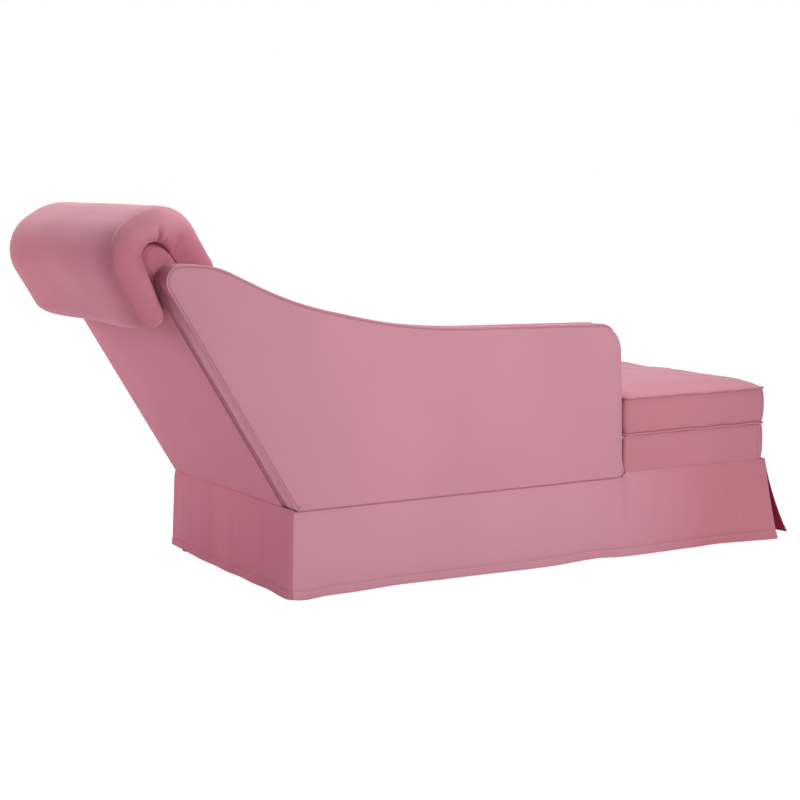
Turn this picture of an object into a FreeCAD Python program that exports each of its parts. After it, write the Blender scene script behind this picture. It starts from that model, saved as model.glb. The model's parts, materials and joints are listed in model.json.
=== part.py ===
import FreeCAD, Part
import math
import os
from FreeCAD import Vector

# Chaise longue with one long arm, a wrapped seat cushion and a saddle pillow over its back.
# Sizes are in millimetres. X runs from the head end to the foot end, Y from the arm side to
# the open side, and Z up from the floor.

# Base and seat frame
base_length = 1360.0
base_width = 646.0
glide_height = 14.0
glide_diameter = 22.0
glide_edge_radius = 3.0
nail_diameter = 3.0
nail_length = 30.0
nail_cover = 4.0
box_board_height = 186.0
board_thickness = 18.0
upholstery_build = 12.0
corner_block = 32.0
short_block_height = 65.0
cross_rail_height = 90.0
cross_rail_count = 3
seat_rail_height = 85.0
webbing_width = 50.0
webbing_pitch = 88.0
webbing_thickness = 2.0
dust_cover_thickness = 0.8
dust_cover_inset = 2.0

# Cloth, foam and running clearances
cloth = 2.0
skirt_cloth = 3.0
soft_gap = 0.3
lift_gap = 1.0
deck_foam_thickness = 12.0
deck_cloth = 1.5
piping_radius = 2.75
piping_stand = 1.5
least_radius = 2.0
tiny = 0.001

# Seat cushion and border
cushion_edge_height = 95.0
cushion_crown = 22.0
crown_run = 150.0
crown_rise_share = 0.62
crown_shoulder_share = 0.27
cushion_draw_in = 4.0
cushion_rear_gap = 4.0
cushion_corner = 30.0
notch_corner = 8.0
seam_rise = 11.0
hem_height = 10.0
tack_depth = 15.0

# Skirt: the hem's folds, as shares of each run and shares of the hem's full flare
side_flare = 55.0
foot_flare = 84.0
head_flare = 11.0
hem_under_arm = [(0.0, -0.11), (0.145, 0.02), (0.3, -0.11), (0.465, -0.07), (0.66, 0.055),
                 (0.785, 0.165), (0.92, 0.075), (0.97, 0.365)]
hem_before_arm = [(0.0, 0.435), (0.22, 0.51), (0.5, 0.49), (0.8, 0.69), (1.0, 1.0)]
hem_open_side = [(0.0, 0.075), (0.1, 0.055), (0.22, 0.145), (0.35, 0.11), (0.5, 0.29),
                 (0.63, 0.255), (0.77, 0.51), (0.9, 0.655), (1.0, 1.0)]
hem_head_end = [(0.0, 0.455), (0.3, 0.73), (0.6, 1.0), (1.0, 0.73)]
hem_foot_end = [(0.0, 1.0), (0.2, 0.835), (0.4, 0.905), (0.6, 0.81), (0.8, 0.88), (1.0, 1.0)]
arm_overhang = 8.0
side_bulge = 3.0
end_bulge = 4.0
head_bulge = 1.0
pleat_reach = 90.0
pleat_draw_back = 18.0

# Arm: the top runs from a rear peak down a long dip to a level front
arm_thickness = 58.0
arm_front = 905.0
arm_peak_height = 750.0
arm_peak_fall = 7.0
arm_peak_run = -181.0
arm_dip_height = 656.5
arm_dip_start = 3.0
arm_level_start = 302.0
arm_level_height = 589.0
arm_front_height = 577.5
arm_front_draw = 12.0
arm_rear_foot_radius = 8.0
arm_rear_top_radius = 36.0
arm_peak_radius = 200.0
arm_dip_radius = 820.0
arm_level_radius = 1480.0
arm_front_radius = 72.0
arm_front_foot_radius = 16.0
arm_batten_width = 50.0
arm_foam_thickness = 8.0
arm_ply = 6.0
arm_beside_gap = 2.0
arm_to_rail_gap = 4.0
arm_rear_step = 3.0

# Back: a padded slab that leans away from the seat
back_lean = 31.0
back_thickness = 75.0
back_length = 657.0
back_nose_radius = 37.0
back_side_radius = 10.0
back_meets_end = 205.0
back_hem_rise = 3.0
back_rear_padding = 8.0
stile_depth = 36.0
stile_width = 34.0
stile_drop = 175.0
stile_top_gap = 57.0
back_side_padding = 30.0
back_rail_width = 45.0
back_rail_start = 15.0
back_strap_pitch = 75.0

# Headrest pillow: a stuffed horseshoe that straddles the top of the back
pillow_rear = 87.5
pillow_front = 79.5
pillow_over = 79.0
pillow_drop = 159.0
pillow_waist = 9.0
pillow_near_end = 14.0
pillow_beyond = 20.0
pillow_slot_gap = 0.5
pillow_rear_radius = 95.0
pillow_front_radius = 125.0
pillow_tip_flat = 1.0
pillow_quarter_share = 0.7
pillow_end_steps = [(0.0, 26.0), (3.0, 16.0), (11.0, 5.0), (24.0, 0.0)]

# Fasteners
bolt_radius = 4.0
bolt_head_radius = 8.0
bolt_head_height = 5.0
bolt_clearance = 0.3
insert_wall = 2.5
insert_length = 14.0
bolt_end_gap = 2.0
back_bolt_drops = (70.0, 130.0)
arm_bolt_shares = (0.28, 0.58, 0.88)

# Levels and faces that the pieces share
box_top = glide_height + box_board_height
seat_rail_top = box_top + seat_rail_height
webbing_top = seat_rail_top + webbing_thickness
deck_foam_top = webbing_top + deck_foam_thickness
deck_top = deck_foam_top + deck_cloth
cushion_bottom = deck_top + soft_gap
cushion_edge_top = cushion_bottom + cushion_edge_height
skirt_seam = box_top + seam_rise
back_hem = box_top + back_hem_rise
tack_bottom = box_top - tack_depth
timber_near = upholstery_build
timber_far = base_width - upholstery_build
timber_head = upholstery_build
timber_foot = base_length - upholstery_build
inner_rail_near = arm_thickness + arm_to_rail_gap
inner_rail_far = inner_rail_near + board_thickness
before_arm = arm_front + lift_gap
back_near = arm_thickness + arm_beside_gap
back_far = base_width
near_stile = back_near + back_side_padding
far_stile = timber_far - board_thickness - stile_width
stile_rear = cloth + back_rear_padding
stile_front = stile_rear + stile_depth
stile_top = back_length - stile_top_gap
wide = 4.0 * base_length

parts = {}


def box(x0, x1, y0, y1, z0, z1):
    return Part.makeBox(x1 - x0, y1 - y0, z1 - z0, Vector(x0, y0, z0))


def rod_y(x, z, radius, y0, y1):
    return Part.makeCylinder(radius, y1 - y0, Vector(x, y0, z), Vector(0, 1, 0))


def rod_z(x, y, radius, z0, z1):
    return Part.makeCylinder(radius, z1 - z0, Vector(x, y, z0), Vector(0, 0, 1))


def group(solids):
    return Part.makeCompound(solids)


# Outlines: a list of corners (u, v, radius) stands for a closed line with rounded corners
def inset_corners(corners, inset):
    count = len(corners)
    area = 0.0
    for i in range(count):
        u0, v0 = corners[i][:2]
        u1, v1 = corners[(i + 1) % count][:2]
        area += u0 * v1 - u1 * v0
    turn = 1.0 if area > 0 else -1.0
    edges = []
    for i in range(count):
        u0, v0 = corners[i][:2]
        u1, v1 = corners[(i + 1) % count][:2]
        length = math.hypot(u1 - u0, v1 - v0)
        du = (u1 - u0) / length
        dv = (v1 - v0) / length
        edges.append((u0 - turn * dv * inset, v0 + turn * du * inset, du, dv))
    result = []
    for i in range(count):
        pu, pv, pdu, pdv = edges[i - 1]
        qu, qv, qdu, qdv = edges[i]
        cross = pdu * qdv - pdv * qdu
        along = ((qu - pu) * qdv - (qv - pv) * qdu) / cross
        bend = 1.0 if cross * turn > 0 else -1.0
        radius = max(corners[i][2] - bend * inset, least_radius)
        result.append((pu + along * pdu, pv + along * pdv, radius))
    return result


# Radii cut back where two neighbours would need more than the side between them
def with_room(corners):
    count = len(corners)
    sides = []
    runs = []
    for i in range(count):
        here = Vector(corners[i][0], corners[i][1], 0)
        before = Vector(corners[i - 1][0], corners[i - 1][1], 0)
        after = Vector(corners[(i + 1) % count][0], corners[(i + 1) % count][1], 0)
        half = (before - here).getAngle(after - here) / 2.0
        sides.append((after - here).Length)
        runs.append(corners[i][2] / math.tan(half))
    result = []
    for i in range(count):
        share_before = sides[i - 1] / (runs[i - 1] + runs[i])
        share_after = sides[i] / (runs[i] + runs[(i + 1) % count])
        share = min(1.0, share_before, share_after)
        result.append((corners[i][0], corners[i][1], corners[i][2] * share))
    return result


def rounded_wire(corners, place):
    count = len(corners)
    bends = []
    for i in range(count):
        here = Vector(corners[i][0], corners[i][1], 0)
        before = Vector(corners[i - 1][0], corners[i - 1][1], 0)
        after = Vector(corners[(i + 1) % count][0], corners[(i + 1) % count][1], 0)
        back = (before - here).normalize()
        onward = (after - here).normalize()
        half = math.acos(max(-1.0, min(1.0, back.dot(onward)))) / 2.0
        run = corners[i][2] / math.tan(half)
        inward = (back + onward).normalize()
        start = here + back * run
        end = here + onward * run
        middle = here + inward * (corners[i][2] / math.sin(half) - corners[i][2])
        bends.append((start, middle, end))
    edges = []
    for i in range(count):
        start, middle, end = bends[i]
        following = bends[(i + 1) % count][0]
        arc = Part.Arc(place(start.x, start.y), place(middle.x, middle.y), place(end.x, end.y))
        edges.append(arc.toShape())
        if (following - end).Length > tiny:
            edges.append(Part.makeLine(place(end.x, end.y), place(following.x, following.y)))
    return Part.Wire(edges)


def in_plan(z):
    return lambda u, v: Vector(u, v, z)


def in_side_view(y):
    return lambda u, v: Vector(u, y, v)


def upright_prism(corners, z0, z1):
    return Part.Face(rounded_wire(corners, in_plan(z0))).extrude(Vector(0, 0, z1 - z0))


def crosswise_prism(corners, y0, y1):
    return Part.Face(rounded_wire(corners, in_side_view(y0))).extrude(Vector(0, y1 - y0, 0))


def piping(corners, place):
    path = rounded_wire(corners, place)
    first = path.Edges[0]
    start = first.valueAt(first.FirstParameter)
    heading = first.tangentAt(first.FirstParameter)
    ring = Part.Wire([Part.Circle(start, heading, piping_radius).toShape()])
    return path.makePipeShell([ring], True, False)


# The back leans about the line where its outer face meets the head end of the base
def leaned(shape):
    turned = shape.copy()
    turned.rotate(Vector(0, 0, 0), Vector(0, 1, 0), -back_lean)
    turned.translate(Vector(0, 0, back_meets_end))
    return turned


def lean_x(depth, z):
    angle = math.radians(back_lean)
    return (depth - (z - back_meets_end) * math.sin(angle)) / math.cos(angle)


def lean_point(depth, slope):
    angle = math.radians(back_lean)
    x = depth * math.cos(angle) - slope * math.sin(angle)
    z = back_meets_end + depth * math.sin(angle) + slope * math.cos(angle)
    return x, z


def behind(depth):
    return leaned(box(-wide, depth, -wide, wide, -wide, wide))


def glides():
    head_x = timber_head + board_thickness / 2.0
    foot_x = timber_foot - board_thickness / 2.0
    near_y = timber_near + board_thickness / 2.0
    far_y = timber_far - board_thickness / 2.0
    middle_x = base_length / 2.0
    return [(head_x, near_y), (head_x, far_y), (foot_x, near_y), (foot_x, far_y),
            (middle_x, near_y), (middle_x, far_y)]


def make_glides():
    feet = []
    nails = []
    for x, y in glides():
        foot = rod_z(x, y, glide_diameter / 2.0, 0, glide_height)
        rim = [edge for edge in foot.Edges if edge.BoundBox.ZMax < tiny]
        foot = foot.makeFillet(glide_edge_radius, rim)
        nail = rod_z(x, y, nail_diameter / 2.0, nail_cover, nail_cover + nail_length)
        feet.append(foot.cut(nail))
        nails.append(nail)
    parts["glide_feet"] = group(feet)
    parts["glide_nails"] = group(nails)


def back_bolts():
    middle = (stile_rear + stile_front) / 2.0
    return [lean_point(middle, -drop) for drop in back_bolt_drops]


def arm_bolts():
    height = (box_top + seat_rail_top) / 2.0
    return [(share * arm_front, height) for share in arm_bolt_shares]


def make_fasteners():
    bolts = []
    inserts = []
    near_board = timber_near + board_thickness
    far_board = timber_far - board_thickness
    reach = insert_length + bolt_end_gap
    arm_seat = arm_thickness - cloth - arm_foam_thickness - arm_ply
    outer = bolt_radius + insert_wall
    for x, z in back_bolts():
        head = near_stile + stile_width
        bolt = rod_y(x, z, bolt_radius, near_board - insert_length, head)
        bolts.append(bolt.fuse(rod_y(x, z, bolt_head_radius, head, head + bolt_head_height)))
        sleeve = rod_y(x, z, outer, near_board - insert_length, near_board)
        inserts.append(sleeve.cut(rod_y(x, z, bolt_radius, 0, near_board)))
        bolt = rod_y(x, z, bolt_radius, far_stile, far_board + insert_length)
        bolts.append(bolt.fuse(rod_y(x, z, bolt_head_radius, far_stile - bolt_head_height, far_stile)))
        sleeve = rod_y(x, z, outer, far_board, far_board + insert_length)
        inserts.append(sleeve.cut(rod_y(x, z, bolt_radius, far_board, base_width)))
    for x, z in arm_bolts():
        bolt = rod_y(x, z, bolt_radius, arm_seat - reach, inner_rail_far)
        head = rod_y(x, z, bolt_head_radius, inner_rail_far, inner_rail_far + bolt_head_height)
        bolts.append(bolt.fuse(head))
        sleeve = rod_y(x, z, outer, arm_seat - insert_length, arm_seat)
        inserts.append(sleeve.cut(rod_y(x, z, bolt_radius, 0, arm_seat)))
    parts["joint_bolts"] = group(bolts)
    parts["threaded_inserts"] = group(inserts)


def holes(places, radius, y0, y1):
    return group([rod_y(x, z, radius, y0, y1) for x, z in places])


def stile(y0, grow):
    return leaned(box(stile_rear - grow, stile_front + grow, y0 - grow, y0 + stile_width + grow,
                      -stile_drop - grow, stile_top + grow))


def make_box_base():
    nails = parts["glide_nails"]
    near = box(timber_head, timber_foot, timber_near, timber_near + board_thickness,
               glide_height, box_top)
    far = box(timber_head, timber_foot, timber_far - board_thickness, timber_far,
              glide_height, box_top)
    inner_near = timber_near + board_thickness
    inner_far = timber_far - board_thickness
    inner_head = timber_head + board_thickness
    inner_foot = timber_foot - board_thickness
    bore = bolt_radius + insert_wall
    seats = holes(back_bolts(), bore, inner_near - insert_length, inner_near)
    parts["box_board_arm_side"] = near.cut(nails).cut(seats)
    seats = holes(back_bolts(), bore, inner_far, inner_far + insert_length)
    parts["box_board_open_side"] = far.cut(nails).cut(seats)
    head = box(timber_head, inner_head, inner_near, inner_far, glide_height, box_top)
    for y0 in (near_stile, far_stile):
        head = head.cut(stile(y0, soft_gap))
    parts["box_board_head_end"] = head
    parts["box_board_foot_end"] = box(inner_foot, timber_foot, inner_near, inner_far,
                                      glide_height, box_top)
    blocks = []
    for y0 in (inner_near, inner_far - corner_block):
        blocks.append(box(inner_head, inner_head + corner_block, y0, y0 + corner_block,
                          glide_height, glide_height + short_block_height))
        blocks.append(box(inner_foot - corner_block, inner_foot, y0, y0 + corner_block,
                          glide_height, seat_rail_top))
    parts["corner_blocks"] = group(blocks)
    rails = []
    spacing = (inner_foot - inner_head) / (cross_rail_count + 1)
    for i in range(cross_rail_count):
        x0 = inner_head + spacing * (i + 1)
        rails.append(box(x0, x0 + board_thickness, inner_near, inner_far,
                         box_top - cross_rail_height, box_top))
    parts["cross_rails"] = group(rails)
    inset = dust_cover_inset
    sheet = box(timber_head + inset, timber_foot - inset, timber_near + inset,
                timber_far - inset, glide_height - dust_cover_thickness, glide_height)
    for x, y in glides():
        sheet = sheet.cut(rod_z(x, y, glide_diameter / 2.0 + soft_gap, 0, box_top))
    parts["dust_cover"] = sheet


def make_seat_frame():
    leaning = behind(back_thickness + lift_gap)
    far = box(0, timber_foot, timber_far - board_thickness, timber_far, box_top, seat_rail_top)
    parts["seat_rail_open_side"] = far.cut(leaning)
    inner_foot = timber_foot - board_thickness
    inner = box(-wide, inner_foot, inner_rail_near, inner_rail_far, box_top, seat_rail_top)
    inner = inner.cut(leaning)
    bore = bolt_radius + bolt_clearance
    parts["seat_rail_inner"] = inner.cut(holes(arm_bolts(), bore, 0, base_width))
    foot = box(inner_foot, timber_foot, timber_near + board_thickness,
               timber_far - board_thickness, box_top, seat_rail_top)
    parts["seat_rail_foot_end"] = foot
    parts["seat_rail_arm_front"] = box(before_arm, timber_foot, timber_near,
                                       timber_near + board_thickness, box_top, seat_rail_top)
    head = box(-wide, wide, inner_rail_far, timber_far - board_thickness, box_top, seat_rail_top)
    head = head.cut(leaning)
    parts["seat_rail_head_end"] = head.common(behind(back_thickness + lift_gap + board_thickness))
    straps = []
    x0 = lean_x(back_thickness + lift_gap, seat_rail_top) + board_thickness
    while x0 + webbing_width < timber_foot - board_thickness:
        straps.append(box(x0, x0 + webbing_width, inner_rail_near, timber_far,
                          seat_rail_top, webbing_top))
        x0 += webbing_pitch
    parts["seat_webbing"] = group(straps)


def seat_outline(rear, front_draw):
    middle = (before_arm + base_length) / 2.0
    notch = arm_thickness + arm_to_rail_gap
    draw = front_draw
    return [(rear, notch, notch_corner), (before_arm + lift_gap, notch, notch_corner),
            (before_arm + lift_gap, 0.0, notch_corner * 2.0),
            (middle, draw / 4.0, wide),
            (base_length, 0.0, cushion_corner),
            (base_length - draw, base_width / 2.0, 2.0 * base_width),
            (base_length, base_width, cushion_corner),
            (middle / 2.0, base_width - draw, wide),
            (rear, base_width, notch_corner)]


def plain_outline(inset):
    corners = [(0.0, 0.0, cushion_corner), (base_length, 0.0, cushion_corner),
               (base_length, base_width, cushion_corner), (0.0, base_width, cushion_corner)]
    return inset_corners(corners, inset)


def make_border_and_deck():
    leaning = behind(back_thickness + lift_gap)
    arm_space = box(-wide, before_arm, -wide, timber_near, 0, wide)
    ring = upright_prism(plain_outline(skirt_cloth), tack_bottom, deck_foam_top)
    ring = ring.cut(box(timber_head, timber_foot, timber_near, timber_far, 0, wide))
    over_back = leaning.common(box(-wide, wide, -wide, wide, box_top, wide))
    parts["border_padding"] = ring.cut(arm_space).cut(over_back)
    band = upright_prism(plain_outline(0.0), skirt_seam, deck_top)
    band = band.cut(upright_prism(plain_outline(skirt_cloth), 0, wide))
    band = band.cut(leaning)
    turn = base_length - cushion_corner
    near_band = box(before_arm, turn, -wide, base_width / 2.0, 0, wide)
    far_band = box(-wide, turn, base_width / 2.0, wide, 0, wide)
    parts["border_cover_arm_side"] = band.common(near_band)
    parts["border_cover_open_side"] = band.common(far_band)
    parts["border_cover_foot_end"] = band.common(box(turn, wide, -wide, wide, 0, wide))
    arm_and_rail = box(-wide, before_arm, -wide, inner_rail_near, 0, wide)
    foam = upright_prism(plain_outline(skirt_cloth), webbing_top, deck_foam_top)
    inside = upright_prism(plain_outline(upholstery_build), webbing_top, deck_foam_top)
    foam = foam.common(inside)
    parts["deck_foam"] = foam.cut(arm_and_rail).cut(leaning)
    sheet = upright_prism(plain_outline(skirt_cloth), deck_foam_top, deck_top)
    parts["deck_cover"] = sheet.cut(arm_and_rail).cut(leaning)


# Skirt panels: each hangs from a straight seam and its hem stands out in folds
def hanging_panel(seam, hem, seam_z, outward, bulge):
    thick = Vector(outward).multiply(-skirt_cloth)
    top_line = [Vector(x, y, seam_z) for x, y in seam]
    low_line = [Vector(x, y, hem_height) for x, y in hem]
    top_edges = []
    low_edges = []
    last = len(top_line) - 1
    for i in range(last):
        top_edges.append(Part.makeLine(top_line[i], top_line[i + 1]))
        fold = Vector(outward).multiply(bulge if i % 2 == 0 else -bulge)
        middle = (low_line[i] + low_line[i + 1]).multiply(0.5) + fold
        low_edges.append(Part.Arc(low_line[i], middle, low_line[i + 1]).toShape())
    top_edges.append(Part.makeLine(top_line[last], top_line[last] + thick))
    low_edges.append(Part.makeLine(low_line[last], low_line[last] + thick))
    for i in range(last, 0, -1):
        top_edges.append(Part.makeLine(top_line[i] + thick, top_line[i - 1] + thick))
        fold = Vector(outward).multiply(bulge if (i - 1) % 2 == 0 else -bulge)
        middle = (low_line[i] + low_line[i - 1]).multiply(0.5) + fold + thick
        low_edges.append(Part.Arc(low_line[i] + thick, middle, low_line[i - 1] + thick).toShape())
    top_edges.append(Part.makeLine(top_line[0] + thick, top_line[0]))
    low_edges.append(Part.makeLine(low_line[0] + thick, low_line[0]))
    return Part.makeLoft([Part.Wire(low_edges), Part.Wire(top_edges)], True, True)


def make_skirt():
    start = skirt_cloth + soft_gap
    seam = []
    hem = []
    for share, out in hem_under_arm:
        x = start + share * (before_arm - start)
        seam.append((x, arm_overhang))
        hem.append((x, -out * side_flare))
    for share, out in hem_before_arm:
        x = before_arm + share * (base_length - soft_gap - before_arm)
        seam.append((x, 0.0))
        hem.append((x, -out * side_flare))
    panel = hanging_panel(seam, hem, skirt_seam, (0, -1, 0), side_bulge)
    under_arm = box(-wide, before_arm, -wide, base_width / 2.0, box_top - soft_gap, wide)
    parts["skirt_arm_side"] = panel.cut(under_arm)
    seam = []
    hem = []
    for share, out in hem_open_side:
        x = start + share * (base_length - soft_gap - start)
        seam.append((x, base_width))
        hem.append((x, base_width + out * side_flare))
    panel = hanging_panel(seam, hem, skirt_seam, (0, 1, 0), side_bulge)
    under_back = behind(back_thickness + lift_gap)
    under_back = under_back.common(box(-wide, wide, -wide, wide, back_hem - soft_gap, wide))
    parts["skirt_open_side"] = panel.cut(under_back)
    seam = []
    hem = []
    for share, out in hem_head_end:
        y = arm_overhang + share * (base_width - arm_overhang)
        seam.append((0.0, y))
        hem.append((-out * head_flare, y))
    parts["skirt_head_end"] = hanging_panel(seam, hem, back_hem - soft_gap,
                                             (-1, 0, 0), head_bulge)
    seam = []
    hem = []
    for share, out in hem_foot_end:
        y = start + share * (base_width - 2.0 * start)
        seam.append((base_length, y))
        hem.append((base_length + out * foot_flare, y))
    panel = hanging_panel(seam, hem, skirt_seam, (1, 0, 0), end_bulge)
    parts["skirt_foot_end"] = panel
    strip = box(timber_head, before_arm, arm_overhang + skirt_cloth, timber_near,
                tack_bottom, box_top)
    parts["skirt_tack_strip"] = strip


# A pleat insert lies behind each open foot corner; side is 1 at the open side, -1 at the arm
def pleat_insert(side, side_hem):
    corner_y = base_width if side > 0 else 0.0
    drop_share = (skirt_seam - tack_bottom) / (skirt_seam - hem_height)
    foot_hem = hem_foot_end[0][1] * foot_flare
    inset = skirt_cloth + side_bulge + soft_gap
    wires = []
    for z, share in ((hem_height, 1.0), (tack_bottom - soft_gap, drop_share)):
        side_y = corner_y + side * (side_hem * share - inset)
        foot_x = base_length + (foot_hem - pleat_draw_back) * share - inset
        corner = (base_length - skirt_cloth, corner_y - side * skirt_cloth)
        far_y = corner_y - side * pleat_reach
        outer = [(base_length - pleat_reach, side_y), corner, (foot_x, far_y)]
        inner = [(foot_x - skirt_cloth, far_y),
                 (corner[0] - skirt_cloth, corner[1] - side * skirt_cloth),
                 (base_length - pleat_reach, side_y - side * skirt_cloth)]
        points = [Vector(x, y, z) for x, y in outer + inner]
        wires.append(Part.makePolygon(points + points[:1]))
    return Part.makeLoft(wires, True, True)


def arm_outline(inset):
    rear_x = lean_x(arm_rear_step, arm_peak_height)
    corners = [(lean_x(arm_rear_step, box_top), box_top, arm_rear_foot_radius),
               (rear_x, arm_peak_height, arm_rear_top_radius),
               (arm_peak_run, arm_peak_height - arm_peak_fall, arm_peak_radius),
               (arm_dip_start, arm_dip_height, arm_dip_radius),
               (arm_level_start, arm_level_height, arm_level_radius),
               (arm_front - arm_front_draw, arm_front_height, arm_front_radius),
               (arm_front, box_top, arm_front_foot_radius)]
    return inset_corners(with_room(corners), inset)


def make_arm():
    bead = 2.0 * piping_radius - piping_stand
    shell = crosswise_prism(arm_outline(piping_stand), 2.0 * piping_radius,
                            arm_thickness - 2.0 * piping_radius)
    lining = arm_outline(piping_stand + cloth)
    shell = shell.cut(crosswise_prism(lining, 0, arm_thickness))
    parts["arm_boxing"] = shell
    face = arm_outline(piping_stand + bead)
    parts["arm_cover_outer"] = crosswise_prism(face, 0, cloth)
    outer_face = crosswise_prism(face, arm_thickness - cloth, arm_thickness)
    bolts = holes(arm_bolts(), bolt_radius + bolt_clearance, 0, base_width)
    parts["arm_cover_inner"] = outer_face.cut(bolts)
    parts["arm_piping_outer"] = piping(arm_outline(piping_radius), in_side_view(piping_radius))
    far_bead = in_side_view(arm_thickness - piping_radius)
    parts["arm_piping_inner"] = piping(arm_outline(piping_radius), far_bead)
    wood = piping_stand + cloth + arm_foam_thickness
    core_near = cloth + arm_foam_thickness
    core_far = arm_thickness - core_near
    core = crosswise_prism(arm_outline(wood), core_near, core_far)
    foam = crosswise_prism(lining, 2.0 * piping_radius, arm_thickness - 2.0 * piping_radius)
    foam = foam.fuse(crosswise_prism(face, cloth, arm_thickness - cloth))
    parts["arm_foam"] = foam.cut(core).cut(bolts)
    outer_ply = crosswise_prism(arm_outline(wood), core_near, core_near + arm_ply)
    inner_ply = crosswise_prism(arm_outline(wood), core_far - arm_ply, core_far)
    parts["arm_ply_outer"] = outer_ply
    parts["arm_ply_inner"] = inner_ply.cut(bolts)
    ring = crosswise_prism(arm_outline(wood), core_near + arm_ply, core_far - arm_ply)
    straight_peak = arm_outline(0.0)[:2] + arm_outline(0.0)[3:]
    window = inset_corners(straight_peak, wood + arm_batten_width)
    ring = ring.cut(crosswise_prism(window, 0, arm_thickness))
    low_top = box_top + wood + arm_batten_width
    low = ring.common(box(-wide, wide, -wide, wide, 0, low_top))
    seats = holes(arm_bolts(), bolt_radius + insert_wall, 0, base_width)
    parts["arm_bottom_rail"] = low.cut(seats)
    above = ring.common(box(-wide, wide, -wide, wide, low_top, wide))
    post_start = arm_front - wood - arm_batten_width - arm_front_draw
    parts["arm_front_post"] = above.common(box(post_start, wide, -wide, wide, 0, wide))
    rear_zone = behind(arm_rear_step + wood + arm_batten_width)
    parts["arm_rear_post"] = above.common(rear_zone)
    clear_of_rail = low_top + 2.0 * least_radius
    batten = above.common(box(-wide, post_start, -wide, wide, clear_of_rail, wide))
    parts["arm_top_batten"] = batten.cut(rear_zone)


def back_profile(inset):
    low = -wide / 4.0
    corners = [(0.0, low, back_side_radius), (back_thickness, low, back_side_radius),
               (back_thickness, back_length, back_nose_radius),
               (0.0, back_length, back_nose_radius)]
    return inset_corners(corners, inset)


def back_slab(inset, near, far, edge_radius):
    slab = crosswise_prism(back_profile(inset), near, far)
    low = -wide / 8.0
    rims = []
    for edge in slab.Edges:
        reach = edge.BoundBox
        if reach.YLength < tiny and reach.ZMax > low:
            rims.append(edge)
    if edge_radius > 0:
        slab = slab.makeFillet(edge_radius, rims)
    return slab


def make_back():
    below = box(-wide, wide, -wide, wide, -wide, back_hem)
    envelope = back_slab(0.0, back_near, back_far, back_side_radius)
    lining = back_slab(cloth, back_near + cloth, back_far - cloth, back_side_radius - cloth)
    rear_low = -wide
    rear_high = back_length - back_nose_radius
    rear_near = back_near + back_side_radius
    rear_far = back_far - back_side_radius
    panel = box(0, cloth, rear_near, rear_far, rear_low, rear_high)
    parts["back_cover"] = leaned(envelope.cut(lining).cut(panel)).cut(below)
    parts["back_outer_panel"] = leaned(panel).cut(below)
    cavity_top = stile_top
    far_side = far_stile + stile_width
    padding = box(cloth, stile_rear, near_stile, far_side, -wide, cavity_top)
    parts["back_outer_padding"] = leaned(padding).cut(below)
    front = stile_front + webbing_thickness
    frame_space = box(cloth, stile_front, near_stile, far_side, -wide, cavity_top)
    strap_space = box(stile_front, front, near_stile, far_side, -wide, cavity_top)
    foam = lining.cut(frame_space).cut(strap_space)
    parts["back_foam"] = leaned(foam).cut(below)
    bolts = holes(back_bolts(), bolt_radius + bolt_clearance, -wide, wide)
    parts["back_stile_near"] = stile(near_stile, 0.0).cut(bolts)
    parts["back_stile_far"] = stile(far_stile, 0.0).cut(bolts)
    between = (near_stile + stile_width, far_stile)
    middle = (stile_top - back_rail_width) / 2.0
    starts = {"back_bottom_rail": back_rail_start, "back_middle_rail": middle,
              "back_top_rail": stile_top - back_rail_width}
    for name, low in starts.items():
        rail = box(stile_rear, stile_front, between[0], between[1], low, low + back_rail_width)
        parts[name] = leaned(rail)
    straps = []
    low = starts["back_bottom_rail"]
    while low + webbing_width < stile_top:
        straps.append(leaned(box(stile_front, front, near_stile, far_side, low,
                                 low + webbing_width)))
        low += back_strap_pitch
    parts["back_webbing"] = group(straps)
    near_board = timber_near + board_thickness
    xs = [x for x, z in back_bolts()]
    zs = [z for x, z in back_bolts()]
    margin = 3.0 * bolt_head_radius
    packer = box(min(xs) - margin, max(xs) + margin, near_board, near_stile,
                 min(zs) - margin, max(zs) + margin)
    parts["stile_packer"] = packer.cut(bolts)


def seat_levels(inset):
    low = cushion_bottom + inset
    high = cushion_edge_top - inset
    return low, high


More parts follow.
